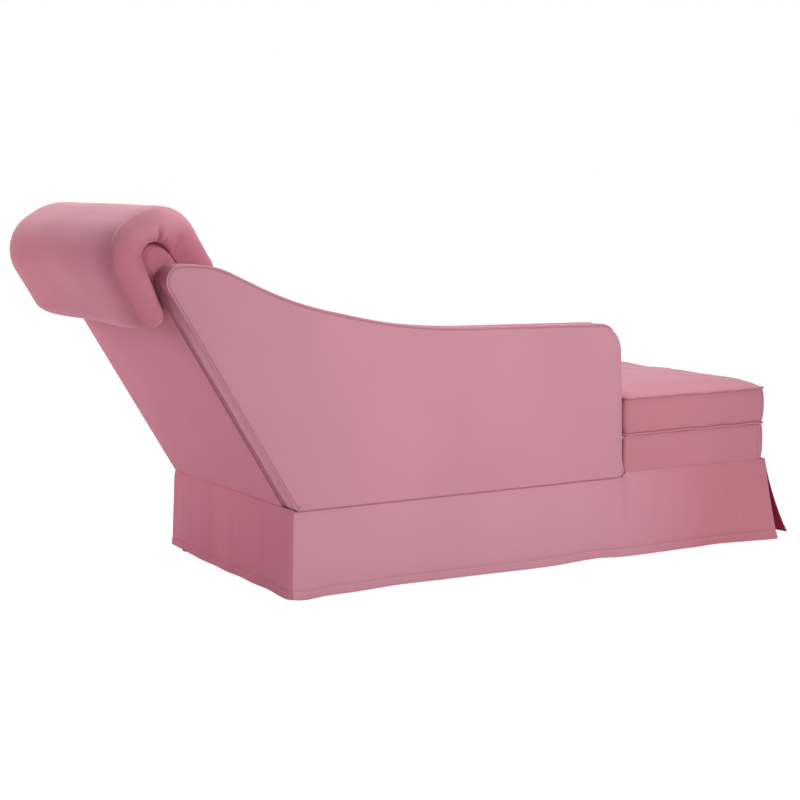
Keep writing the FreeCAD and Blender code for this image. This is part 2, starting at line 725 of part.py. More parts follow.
# One body of the cushion, drawn in by inset all round and crowned on top
def cushion_form(inset, step):
    low, high = seat_levels(inset)
    gap = back_thickness + cushion_rear_gap + inset
    depth = 2.0 * piping_radius
    top = high + cushion_crown + depth
    levels = [(low, low + depth, step), (low + depth, high - depth, 0.0),
              (high - depth, high, step), (high, top, step)]
    form = None
    for z0, z1, pull in levels:
        beside_piping = step > 0 and z1 - z0 <= depth
        wires = []
        for z in (z0, z1):
            rear = lean_x(gap, (z0 + z1) / 2.0 if beside_piping else z)
            corners = inset_corners(seat_outline(rear - inset, cushion_draw_in), inset + pull)
            wires.append(rounded_wire(corners, in_plan(z)))
        slab = Part.makeLoft(wires, True, True)
        form = slab if form is None else form.fuse(slab)
    rear = lean_x(gap, top) - inset
    crown = high + cushion_crown
    rise = cushion_crown * crown_rise_share
    shoulder = crown_run * crown_shoulder_share
    profiles = []
    for start, end in ((rear, base_length - inset), (inset, base_width - inset)):
        low_start = Vector(start, low - lift_gap, 0)
        edge_start = Vector(start, high, 0)
        high_start = Vector(start + crown_run, crown, 0)
        high_end = Vector(end - crown_run, crown, 0)
        edge_end = Vector(end, high, 0)
        low_end = Vector(end, low - lift_gap, 0)
        first_arc = (edge_start, Vector(start + shoulder, high + rise, 0), high_start)
        last_arc = (high_end, Vector(end - shoulder, high + rise, 0), edge_end)
        profiles.append((low_start, first_arc, last_arc, low_end))
    lengthwise = crown_prism(profiles[0], lambda p: Vector(p.x, -wide, p.y), Vector(0, 2 * wide, 0))
    crosswise = crown_prism(profiles[1], lambda p: Vector(-wide, p.x, p.y), Vector(2 * wide, 0, 0))
    return form.common(lengthwise).common(crosswise)


def crown_prism(profile, place, sweep):
    low_start, first_arc, last_arc, low_end = profile
    edges = [Part.makeLine(place(low_start), place(first_arc[0])),
             Part.Arc(*[place(point) for point in first_arc]).toShape(),
             Part.makeLine(place(first_arc[2]), place(last_arc[0])),
             Part.Arc(*[place(point) for point in last_arc]).toShape(),
             Part.makeLine(place(last_arc[2]), place(low_end)),
             Part.makeLine(place(low_end), place(low_start))]
    return Part.Face(Part.Wire(edges)).extrude(sweep)


def make_cushion():
    bead = 2.0 * piping_radius - piping_stand
    outside = cushion_form(0.0, bead)
    inside = cushion_form(bead + cloth, 0.0)
    parts["cushion_cover"] = outside.cut(inside)
    parts["cushion_foam"] = cushion_form(bead + cloth + soft_gap, 0.0)
    low, high = seat_levels(0.0)
    gap = back_thickness + cushion_rear_gap
    for name, z in (("cushion_piping_bottom", low + piping_radius),
                    ("cushion_piping_top", high - piping_radius)):
        corners = seat_outline(lean_x(gap, z), cushion_draw_in)
        bend = inset_corners(corners, piping_radius - piping_stand)
        parts[name] = piping(bend, in_plan(z))


def pillow_corners(waist, inset):
    rear = -pillow_rear + waist
    front = back_thickness + pillow_front - waist
    top = back_length + pillow_over - waist
    low = back_length - pillow_drop + waist / 2.0
    slot_rear = -pillow_slot_gap
    slot_front = back_thickness + pillow_slot_gap
    slot_top = back_length + pillow_slot_gap
    rear_tip = (slot_rear - rear) / 2.0 - pillow_tip_flat
    front_tip = (front - slot_front) / 2.0 - pillow_tip_flat
    corners = [(rear, low, rear_tip), (rear, top, pillow_rear_radius),
               (front, top, pillow_front_radius),
               (front, low, front_tip), (slot_front, low, front_tip),
               (slot_front, slot_top, back_nose_radius + pillow_slot_gap),
               (slot_rear, slot_top, back_nose_radius + pillow_slot_gap),
               (slot_rear, low, rear_tip)]
    return inset_corners(corners, inset)


# The pillow is widest at its ends, slimmer at the waist, and rounds over at each end
def pillow_form(inset):
    near = pillow_near_end + inset
    far = back_far + pillow_beyond - inset
    middle = (near + far) / 2.0
    quarter = (near + middle) / 2.0
    stations = [(near + run, 0.0, pull) for run, pull in pillow_end_steps]
    stations += [(quarter, pillow_waist * pillow_quarter_share, 0.0), (middle, pillow_waist, 0.0)]
    stations += [(near + far - y, waist, pull) for y, waist, pull in reversed(stations[:-1])]
    wires = []
    for y, waist, pull in stations:
        wires.append(rounded_wire(pillow_corners(waist, inset + pull), in_side_view(y)))
    form = leaned(Part.makeLoft(wires, True, True))
    room = arm_outline(-inset - lift_gap)
    return form.cut(crosswise_prism(room, -wide, arm_thickness + lift_gap + inset))


def make_pillow():
    outside = pillow_form(0.0)
    parts["pillow_cover"] = outside.cut(pillow_form(skirt_cloth))
    parts["pillow_fill"] = pillow_form(skirt_cloth + soft_gap)


make_glides()
make_fasteners()
make_box_base()
make_seat_frame()
make_border_and_deck()
make_skirt()
parts["skirt_pleat_arm_corner"] = pleat_insert(-1, hem_before_arm[-2][1] * side_flare)
parts["skirt_pleat_open_corner"] = pleat_insert(1, hem_open_side[-2][1] * side_flare)
make_arm()
make_back()
make_cushion()
make_pillow()

# The origin is on the floor, under the middle of the whole object
whole = Part.makeCompound(list(parts.values()))
reach = whole.optimalBoundingBox(False, False)
middle = Vector(-(reach.XMin + reach.XMax) / 2.0, -(reach.YMin + reach.YMax) / 2.0, -reach.ZMin)
print("overall", round(reach.XLength, 2), round(reach.YLength, 2), round(reach.ZLength, 2))
print("moved by", round(middle.x, 3), round(middle.y, 3), round(middle.z, 3))

os.makedirs("parts", exist_ok=True)
for node, shape in parts.items():
    placed = shape.copy()
    placed.translate(middle)
    placed.exportStep("parts/" + node + ".step")
print(len(parts), "nodes")
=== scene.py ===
import json
import math
import bmesh
import bpy
import numpy as np
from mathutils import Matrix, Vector
from mathutils.geometry import delaunay_2d_cdt


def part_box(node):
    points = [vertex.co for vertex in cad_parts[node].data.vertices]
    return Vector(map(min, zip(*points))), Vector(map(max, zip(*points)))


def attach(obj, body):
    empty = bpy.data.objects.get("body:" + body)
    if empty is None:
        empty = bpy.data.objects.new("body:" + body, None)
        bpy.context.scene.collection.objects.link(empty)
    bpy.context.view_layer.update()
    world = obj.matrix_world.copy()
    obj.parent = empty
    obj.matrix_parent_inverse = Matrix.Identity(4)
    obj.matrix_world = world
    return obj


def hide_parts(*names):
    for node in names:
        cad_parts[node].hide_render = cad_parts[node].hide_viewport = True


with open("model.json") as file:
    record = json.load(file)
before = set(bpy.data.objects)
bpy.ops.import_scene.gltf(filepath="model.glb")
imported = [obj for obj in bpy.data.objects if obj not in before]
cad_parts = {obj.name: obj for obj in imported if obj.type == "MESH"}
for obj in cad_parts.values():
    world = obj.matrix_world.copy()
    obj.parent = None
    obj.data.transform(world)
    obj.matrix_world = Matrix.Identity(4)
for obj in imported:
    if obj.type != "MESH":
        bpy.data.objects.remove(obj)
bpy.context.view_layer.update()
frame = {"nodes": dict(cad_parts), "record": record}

# Working coordinates: metres, X from the head end of the base, Y from its arm side, Z up.
# The timber box stands 12 mm inside both planes.
upholstery_build = 0.012
head_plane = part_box("box_board_head_end")[0].x - upholstery_build
arm_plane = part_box("box_board_arm_side")[0].y - upholstery_build
shift = np.array([head_plane, arm_plane, 0.0])

base_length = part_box("box_board_foot_end")[1].x + upholstery_build - head_plane
base_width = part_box("box_board_open_side")[1].y + upholstery_build - arm_plane
box_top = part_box("box_board_arm_side")[1].z
deck_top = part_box("deck_cover")[1].z
hem_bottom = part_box("skirt_arm_side")[0].z
skirt_seam = 0.211
back_hem = box_top + 0.003

# Sizes that several pieces share; back_length runs up the back's slope from back_foot
arm_thickness = 0.058
arm_front = 0.905
before_arm = 0.906
piping_radius = 0.00275
back_lean = math.radians(31.0)
lean_cos = math.cos(back_lean)
lean_sin = math.sin(back_lean)
back_foot = 0.205
back_thickness = 0.075
back_length = 0.657
back_nose = 0.037
back_near = 0.06
cushion_low = 0.3008
cushion_high = 0.3958
cushion_plump = 0.033


def add_object(name, data):
    made = bpy.data.objects.new(name, data)
    bpy.context.scene.collection.objects.link(made)
    return made


# Materials
def add_node(tree, kind, inputs=None, **settings):
    """A shader node; inputs gives each socket a value, or the socket that feeds it."""
    made = tree.nodes.new("ShaderNode" + kind)
    for name, value in settings.items():
        setattr(made, name, value)
    for name, value in (inputs or {}).items():
        if isinstance(value, bpy.types.NodeSocket):
            tree.links.new(value, made.inputs[name])
        else:
            made.inputs[name].default_value = value
    return made


def node_material(name):
    material = bpy.data.materials.new(name)
    material.use_nodes = True
    tree = material.node_tree
    return material, tree, tree.nodes["Principled BSDF"]


def object_place(tree):
    return add_node(tree, "TexCoord").outputs["Object"]


def noise_node(tree, scale, detail, rough=0.5, stretch=None):
    place = object_place(tree)
    if stretch is not None:
        place = add_node(tree, "Mapping", {"Vector": place, "Scale": stretch}).outputs["Vector"]
    inputs = {"Vector": place, "Scale": scale, "Detail": detail, "Roughness": rough}
    return add_node(tree, "TexNoise", inputs).outputs["Fac"]


def blend_colours(tree, factor, low, high, start=0.3, end=0.7):
    ramp = add_node(tree, "ValToRGB", {"Fac": factor})
    for element, place, colour in zip(ramp.color_ramp.elements, (start, end), (low, high)):
        element.position = place
        element.color = (*colour, 1.0)
    return ramp.outputs["Color"]


def mix_colours(tree, factor, first, second):
    inputs = {"Factor": factor, "A": first, "B": second}
    return add_node(tree, "Mix", inputs, data_type="RGBA").outputs["Result"]


def dress(tree, shader, colour, rough, height, strength, distance):
    """Gives a shader its colour, its roughness and its bumps."""
    bump = add_node(tree, "Bump", {"Height": height, "Strength": strength, "Distance": distance})
    tree.links.new(colour, shader.inputs["Base Color"])
    tree.links.new(bump.outputs["Normal"], shader.inputs["Normal"])
    shader.inputs["Roughness"].default_value = rough


def linear(colour):
    """An sRGB colour, 0 to 255, as the linear values that a shader takes."""
    shares = [channel / 255.0 for channel in colour]
    return tuple(s / 12.92 if s <= 0.04045 else ((s + 0.055) / 1.055) ** 2.4 for s in shares)


velvet_sheen = linear((255, 236, 240))


def velvet_tone(tree, shade, nap):
    deep, light = (tuple(channel * share for channel in linear(shade)) for share in (0.955, 1.045))
    broad = blend_colours(tree, noise_node(tree, 5.0, 2.0, 0.45, nap), deep, light)
    fine = blend_colours(tree, noise_node(tree, 420.0, 2.0, 0.6), deep, light)
    return mix_colours(tree, 0.4, broad, fine)


def along_object(tree, axis, start, end):
    """A share that rises from 0 to 1 between two places on an axis of the object's coordinates."""
    split = add_node(tree, "SeparateXYZ", {"Vector": object_place(tree)})
    inputs = {"Value": split.outputs[axis], "From Min": start, "From Max": end}
    return add_node(tree, "MapRange", inputs, interpolation_type="SMOOTHSTEP").outputs["Result"]


def velvet(name, shade, nap, sheen=0.3, onward=None, gloss=0.08):
    """Short-pile velvet: slight patches where the nap lies another way, a fine pile and a soft sheen.
    onward gives a second shade that takes over along one axis, to paint a change in light across the piece."""
    material, tree, shader = node_material(name)
    colour = velvet_tone(tree, shade, nap)
    if onward is not None:
        second, axis, start, end = onward
        further = velvet_tone(tree, second, nap)
        colour = mix_colours(tree, along_object(tree, axis, start, end), colour, further)
    shader.inputs["Specular IOR Level"].default_value = gloss
    shader.inputs["Sheen Weight"].default_value = sheen
    shader.inputs["Sheen Roughness"].default_value = 0.4
    shader.inputs["Sheen Tint"].default_value = (*velvet_sheen, 1.0)
    dress(tree, shader, colour, 0.9, noise_node(tree, 1600.0, 1.0, 0.6), 0.18, 0.0003)
    return material


def woven(name, warp, weft, threads, depth):
    """Plain woven cloth: two crossing bands of threads, with uneven yarn."""
    material, tree, shader = node_material(name)
    inputs = {"Vector": object_place(tree), "Scale": threads, "Distortion": 0.6}
    heights = [add_node(tree, "TexWave", inputs, bands_direction=axis).outputs["Fac"] for axis in "XY"]
    weave = add_node(tree, "Math", dict(enumerate(heights)), operation="MULTIPLY").outputs[0]
    base = blend_colours(tree, weave, warp, weft, 0.1, 0.8)
    uneven = blend_colours(tree, noise_node(tree, 300.0, 2.0), warp, weft)
    dress(tree, shader, mix_colours(tree, 0.4, base, uneven), 0.9, weave, 0.6, depth)
    return material


def timber(name, pale, dark, stretch):
    """Sawn softwood or plywood: long grain, darker growth lines and open pores."""
    material, tree, shader = node_material(name)
    grain = noise_node(tree, 14.0, 6.0, 0.65, stretch)
    pores = noise_node(tree, 220.0, 3.0, 0.6, stretch)
    broad = blend_colours(tree, grain, dark, pale, 0.35, 0.62)
    fine = blend_colours(tree, pores, dark, pale, 0.2, 0.5)
    dress(tree, shader, mix_colours(tree, 0.3, broad, fine), 0.7, grain, 0.15, 0.001)
    return material


def foam(name, pale, dark):
    """Open-cell foam: a pale body with fine dark cells."""
    material, tree, shader = node_material(name)
    cells = add_node(tree, "TexVoronoi", {"Vector": object_place(tree), "Scale": 450.0}).outputs["Distance"]
    dress(tree, shader, blend_colours(tree, cells, dark, pale, 0.0, 0.5), 0.95, cells, 0.5, 0.001)
    return material


def moulded(name, deep, pale):
    """Moulded plastic with a fine satin texture and slight scuffs."""
    material, tree, shader = node_material(name)
    scuffs = noise_node(tree, 180.0, 4.0, 0.7)
    dress(tree, shader, blend_colours(tree, scuffs, deep, pale), 0.45, scuffs, 0.1, 0.0003)
    return material


def plated(name, bright, dull):
    """Zinc-plated steel with cloudy plating and fine turning marks."""
    material, tree, shader = node_material(name)
    clouds = noise_node(tree, 120.0, 4.0, 0.6)
    shader.inputs["Metallic"].default_value = 1.0
    turning = noise_node(tree, 900.0, 2.0)
    dress(tree, shader, blend_colours(tree, clouds, dull, bright), 0.35, turning, 0.1, 0.0001)
    return material


# The velvet's shades differ from piece to piece as painted light and shade: each is set lighter or darker,
# paler or redder, to stand in for the light, shade and sheen that fall on that piece.
velvet_face = velvet("velvet_face", (200, 141, 154), (1.0, 1.0, 0.6))
velvet_top = velvet("velvet_top", (199, 137, 150), (0.6, 1.0, 1.0))
velvet_side = velvet("velvet_side", (194, 128, 139), (0.6, 1.0, 1.0))
# The long skirts' shade turns darker along X: painted light near the head end and painted shade towards the
# foot end.
velvet_skirt = velvet("velvet_skirt", (204, 146, 159), (1.0, 1.0, 0.4), 0.3,
                      ((193, 124, 135), "X", 0.24, 0.74))
# velvet_end, darker and redder, is painted shade on the back and the head-end skirt, which are turned away
# from the key light.
velvet_end = velvet("velvet_end", (199, 123, 140), (1.0, 1.0, 0.6))
# The pillow's darker base shade is painted shade on its rear and ends; its lighter second shade, from 0.765 m
# to 0.85 m up, is painted light on its top.
velvet_pillow = velvet("velvet_pillow", (190, 116, 131), (1.0, 1.0, 1.0), 0.36,
                       ((206, 140, 152), "Z", 0.765, 0.85))
# The arm's boxing strip is lighter and has less sheen than velvet_face: painted light that lifts the strip
# where it lies in shade beside the back.
velvet_strip = velvet("velvet_strip", (206, 140, 155), (1.0, 1.0, 0.6), 0.12)
velvet_cord = velvet("velvet_cord", (195, 136, 148), (1.0, 1.0, 1.0))
# A dark red velvet without sheen or gloss: painted shade, a dark sheet put in the shadowed foot corners, on
# the pleat inserts and the inside of the foot-end skirt.
velvet_painted_shade = velvet("velvet_painted_shade", (182, 62, 84), (1.0, 1.0, 0.6), 0.0, None, 0.0)
lining_cloth = woven("lining_cloth", linear((214, 204, 190)), linear((190, 178, 162)), 160.0, 0.0004)
dust_cloth = woven("dust_cloth", linear((44, 44, 47)), linear((27, 27, 30)), 200.0, 0.0003)
webbing_cloth = woven("webbing_cloth", linear((120, 110, 96)), linear((72, 66, 58)), 120.0, 0.0006)
solid_timber = timber("solid_timber", linear((226, 197, 152)), linear((186, 148, 100)), (0.25, 2.5, 2.5))
plywood = timber("plywood", linear((212, 178, 132)), linear((170, 130, 88)), (0.5, 3.0, 0.5))
card = timber("card", linear((186, 160, 128)), linear((160, 134, 104)), (1.0, 1.0, 1.0))
pale_foam = foam("pale_foam", linear((243, 236, 208)), linear((214, 202, 168)))
glide_plastic = moulded("glide_plastic", linear((138, 62, 76)), linear((158, 76, 92)))
steel = plated("steel", linear((214, 216, 220)), linear((168, 171, 178)))

slot_materials = {
    "velvet": velvet_face, "foam": pale_foam, "lining": lining_cloth, "dust_cloth": dust_cloth,
    "webbing": webbing_cloth, "plywood": plywood, "timber": solid_timber, "card": card,
    "glide_plastic": glide_plastic, "steel": steel,
}
for entry in frame["record"]["subparts"]:
    node = frame["nodes"][entry["node"]]
    node.data.materials.clear()
    node.data.materials.append(slot_materials[entry["material_slot"]])


# Mesh helpers
def smoothstep(low, high, value):
    share = np.clip((np.asarray(value, float) - low) / (high - low), 0.0, 1.0)
    return share * share * (3.0 - 2.0 * share)


def fading(low, high, value):
    """1 up to low, 0 from high on."""
    return 1.0 - smoothstep(low, high, value)


def waves(points, length, seed, count=7):
    """A smooth field between about -1 and 1 over the points, with hills about length apart."""
    draw = np.random.default_rng(seed)
    points = np.asarray(points, float)
    directions = draw.normal(size=(count, points.shape[-1]))
    directions /= np.linalg.norm(directions, axis=1, keepdims=True)
    rates = 2.0 * math.pi / length * draw.uniform(0.6, 1.5, count)
    phases = draw.uniform(0.0, 2.0 * math.pi, count)
    total = np.zeros(points.shape[:-1])
    for direction, rate, phase in zip(directions, rates, phases):
        total += np.sin(points @ direction * rate + phase)
    return total / math.sqrt(count)


def seam_waves(points, long, short, seed):
    """How far a sewn seam wanders: slow waves with small quick ones."""
    return 0.0007 * waves(points, long, seed) + 0.0003 * waves(points, short, seed + 1)


class Shell:
    """Collects points and faces of one piece."""

    def __init__(self):
        self.points = []
        self.faces = []

    def add(self, points):
        first = len(self.points)
        self.points.extend(np.asarray(points, float).reshape(-1, 3).tolist())
        return np.arange(first, len(self.points))

    def band(self, first, second, closed):
        """Quads between two rows of point numbers."""
        count = len(first)
        for i in range(count if closed else count - 1):
            j = (i + 1) % count
            self.faces.append((int(first[i]), int(first[j]), int(second[j]), int(second[i])))

    def grid(self, rows, closed=False):
        """Quads over rows of points; closed joins each row's end to its start."""
        numbers = [self.add(row) for row in rows]
        for first, second in zip(numbers, numbers[1:]):
            self.band(first, second, closed)
        return numbers

    def patch(self, points, faces):
        """Faces over new points, given by the points' places in their own list."""
        numbers = self.add(points)
        self.faces.extend([tuple(int(numbers[i]) for i in face) for face in faces])

    def piece(self, name, material, slot, body, replaced=(), sharp=None):
        mesh = bpy.data.meshes.new(name)
        mesh.from_pydata([tuple(p) for p in np.array(self.points) + shift], [], self.faces)
        mesh.validate()
        weld(mesh)
        mesh.materials.append(material)
        mesh.shade_smooth()
        if sharp is not None:
            mesh.set_sharp_from_angle(angle=math.radians(sharp))
        piece = add_object(name, mesh)
        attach(piece, body)
        if replaced:
            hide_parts(*replaced)
        return piece


def weld(mesh):
    work = bmesh.new()
    work.from_mesh(mesh)
    bmesh.ops.remove_doubles(work, verts=work.verts, dist=1e-5)
    bmesh.ops.recalc_face_normals(work, faces=work.faces)
    work.to_mesh(mesh)
    work.free()


def second_material(piece, material, chosen):
    """Gives a piece's chosen faces a material of their own."""
    piece.data.materials.append(material)
    for polygon in piece.data.polygons:
        if chosen(polygon):
            polygon.material_index = 1


def corner_arc(before, corner, after, step=None):
    """The arc that rounds a corner (u, v, radius) between two others, in pieces about step long or
    in eight."""
    here = np.array(corner[:2])
    radius = corner[2]
    back = np.array(before[:2]) - here
    onward = np.array(after[:2]) - here
    back /= np.linalg.norm(back)
    onward /= np.linalg.norm(onward)
    half = math.acos(np.clip(back @ onward, -1.0, 1.0)) / 2.0
    run = radius / math.tan(half)
    inward = (back + onward) / np.linalg.norm(back + onward)
    centre = here + inward * radius / math.sin(half)
    first = here + back * run - centre
    last = here + onward * run - centre
    turn = math.pi - 2.0 * half
    pieces = 8 if step is None else max(3, int(math.ceil(radius * turn / step)))
    sign = 1.0 if first[0] * last[1] - first[1] * last[0] > 0 else -1.0
    arc = []
    for k in range(pieces + 1):
        angle = sign * turn * k / pieces
        cos, sin = math.cos(angle), math.sin(angle)
        arc.append(centre + np.array([first[0] * cos - first[1] * sin, first[0] * sin + first[1] * cos]))
    return arc


def joined(arcs, step):
    """The points of a row of arcs and of the straight runs between them, about step apart."""
    points = list(arcs[0])
    for before, after in zip(arcs, arcs[1:]):
        start, end = before[-1], after[0]
        pieces = int(math.ceil(np.linalg.norm(end - start) / step))
        points.extend(start + (end - start) * k / pieces for k in range(1, pieces))
        points.extend(after)
    return np.array(points)


def rounded(corners, step):
    """Points along a closed line whose corners (u, v, radius) are arcs, about step apart."""
    cycle = [corners[-1], *corners, corners[0]]
    arcs = [corner_arc(*some, step) for some in zip(cycle, cycle[1:], cycle[2:])]
    return joined([*arcs, arcs[0][:1]], step)[:-1]


def strip_path(corners, step):
    """Points and outward normals of an open line with rounded corners."""
    arcs = [corner_arc(*some) for some in zip(corners, corners[1:], corners[2:])]
    first, last = np.array(corners[0][:2]), np.array(corners[-1][:2])
    line = joined([[first], *arcs, [last]], step)
    along = np.gradient(line, axis=0)
    along /= np.linalg.norm(along, axis=1, keepdims=True)
    return line, np.stack([along[:, 1], -along[:, 0]], axis=1)


def closed_strip(shell, sections):
    """A closed strip through sections, each a closed loop of points, with flat ends."""
    numbers = shell.grid(sections, closed=True)
    for end in (numbers[0], numbers[-1]):
        half = len(end) // 2
        for i in range(half - 1):
            shell.faces.append((int(end[i]), int(end[i + 1]), int(end[-2 - i]), int(end[-1 - i])))


def arc_points(centre, radius, start, end, count):
    angles = np.radians(np.linspace(start, end, count))
    return np.stack([centre[0] + radius * np.cos(angles), centre[1] + radius * np.sin(angles)], axis=1)


def even(points, count):
    """The same line with count points, evenly spaced."""
    steps = np.linalg.norm(np.diff(points, axis=0), axis=1)
    along = np.concatenate([[0.0], np.cumsum(steps)])
    at = np.linspace(0.0, along[-1], count)
    return np.stack([np.interp(at, along, column) for column in points.T], axis=1)


def smooth_through(knots, at):
    """A smooth curve through knots (place, value) or (place, u, v), read at the given places."""
    places, values = np.split(np.asarray(knots, float), [1], axis=1)
    places = places[:, 0]
    slopes = np.gradient(values, places, axis=0)
    i = np.clip(np.searchsorted(places, at) - 1, 0, len(places) - 2)
    run = (places[i + 1] - places[i])[:, None]
    t = np.clip((at - places[i])[:, None] / run, 0.0, 1.0)
    a, b = values[i], values[i + 1]
    m, n = slopes[i] * run, slopes[i + 1] * run
    curve = (2 * t ** 3 - 3 * t ** 2 + 1) * a + (t ** 3 - 2 * t ** 2 + t) * m \
        + (-2 * t ** 3 + 3 * t ** 2) * b + (t ** 3 - t ** 2) * n
    return curve[:, 0] if curve.shape[1] == 1 else curve


def area_of(loop):
    """The area within a closed line, below zero for a clockwise one."""
    ahead = np.roll(loop, -1, axis=0)
    return float(np.sum(loop[:, 0] * ahead[:, 1] - loop[:, 1] * ahead[:, 0])) / 2.0


def outward(loop):
    """The unit normals of a closed line of points, pointing out of it."""
    along = np.roll(loop, -1, axis=0) - np.roll(loop, 1, axis=0)
    along /= np.linalg.norm(along, axis=1, keepdims=True)
    side = 1.0 if area_of(loop) > 0 else -1.0
    return np.stack([along[:, 1], -along[:, 0]], axis=1) * side


def from_line(points, loop):
    """How far each point lies from a closed line, and the number of the line's nearest point."""
    best = np.full(len(points), np.inf)
    nearest = np.zeros(len(points), int)
    ahead = np.roll(loop, -1, axis=0)
    block = 4000
    for first in range(0, len(points), block):
        some = points[first:first + block, None, :]
        run = ahead - loop
        share = ((some - loop) * run).sum(2) / np.maximum((run * run).sum(1), 1e-12)
        share = np.clip(share, 0.0, 1.0)
        gap = np.linalg.norm(some - loop - share[..., None] * run, axis=2)
        nearest[first:first + block] = gap.argmin(1)
        best[first:first + block] = gap.min(1)
    return best, nearest


def is_inside(points, loop):
    ahead = np.roll(loop, -1, axis=0)
    result = np.zeros(len(points), bool)
    for a, b in zip(loop, ahead):
        if a[1] == b[1]:
            continue
        crosses = (a[1] > points[:, 1]) != (b[1] > points[:, 1])
        x = (b[0] - a[0]) * (points[:, 1] - a[1]) / (b[1] - a[1]) + a[0]
        result ^= crosses & (points[:, 0] < x)
    return result


def fill(loop, spacing):
    """Points and triangles that fill a closed line evenly, with what from_line says of each point."""
    low = loop.min(0)
    high = loop.max(0)
    rows = np.arange(low[1], high[1], spacing * 0.87)
    grid = []
    for number, v in enumerate(rows):
        start = low[0] + (spacing / 2.0 if number % 2 else 0.0)
        us = np.arange(start, high[0], spacing)
        grid.append(np.stack([us, np.full(len(us), v)], axis=1))
    grid = np.concatenate(grid)
    grid = grid[is_inside(grid, loop)]
    gap = from_line(grid, loop)[0]
    grid = grid[gap > spacing * 0.6]
    points = [Vector(p) for p in np.concatenate([loop, grid])]
    edges = [(i, (i + 1) % len(loop)) for i in range(len(loop))]
    points, _, faces, _, _, _ = delaunay_2d_cdt(points, edges, [], 1, 1e-7)
    points = np.array([tuple(p) for p in points])
    return points, faces, *from_line(points, loop)


def tube(shell, path, outwards, upward, radius, sides=12):
    """A closed round tube along a closed path; outwards and upward span its cross-section."""
    numbers = []
    for k in range(sides):
        angle = 2.0 * math.pi * k / sides
        away = outwards * math.cos(angle) + upward * math.sin(angle)
        numbers.append(shell.add(path + away * np.reshape(radius, (-1, 1))))
    for k in range(sides):
        shell.band(numbers[k], numbers[(k + 1) % sides], True)


def at_height(points, z):
    """Points (x, y) of a plan view at the height z, or each at its own."""
    return np.column_stack([points, np.broadcast_to(z, len(points))])


def in_side_view(points, depth):
    """Points (x, z) of a side view with their depth Y."""
    depth = np.broadcast_to(depth, points.shape[:-1])
    return np.stack([points[..., 0], depth, points[..., 1]], axis=-1)


def lean_point(depth, slope):
    depth = np.asarray(depth, float)
    slope = np.asarray(slope, float)
    x = depth * lean_cos - slope * lean_sin
    z = back_foot + depth * lean_sin + slope * lean_cos
    return np.stack([x, z], axis=-1)


def lean_x(depth, z):
    return (depth - (z - back_foot) * lean_sin) / lean_cos


def slope_of(x, z):
    """How far up the back's slope a point lies."""
    return (z - back_foot) * lean_cos - x * lean_sin


# Arm
arm_corners = [
    (lean_x(0.003, box_top), box_top, 0.008),
    (lean_x(0.003, 0.75), 0.75, 0.036),
    (-0.181, 0.743, 0.2),
    (0.003, 0.6565, 0.82),
    (0.302, 0.589, 1.48),
    (0.893, 0.5775, 0.072),
    (arm_front, box_top, 0.016),
]


def roll_profile(front, bottom, count=9):
    """The rolled edge of an arm face: inset from the outline and depth behind the face, from the
    seam to the flat, for points that face the front or the bottom by the given shares."""
    def part(plain, at_front, at_bottom):
        return plain + (at_front - plain) * front + (at_bottom - plain) * bottom * (1.0 - front)
    start = part(0.0053, 0.0006, 0.0008)
    run = part(0.01, 0.036, 0.006)
    depth = part(0.0038, 0.009, 0.006)
    back_run = part(0.0006, 0.0042, 0.003)
    back_depth = part(0.0006, 0.005, 0.003)
    rings = []
    for angle in np.radians([-90.0, -45.0]):
        rings.append((start + back_run * (1.0 - math.cos(angle)), depth - back_depth * math.sin(angle)))
    for angle in np.radians(np.linspace(0.0, 90.0, count)):
        rings.append((start + run * (1.0 - math.cos(angle)), depth * (1.0 - math.sin(angle))))
    return rings


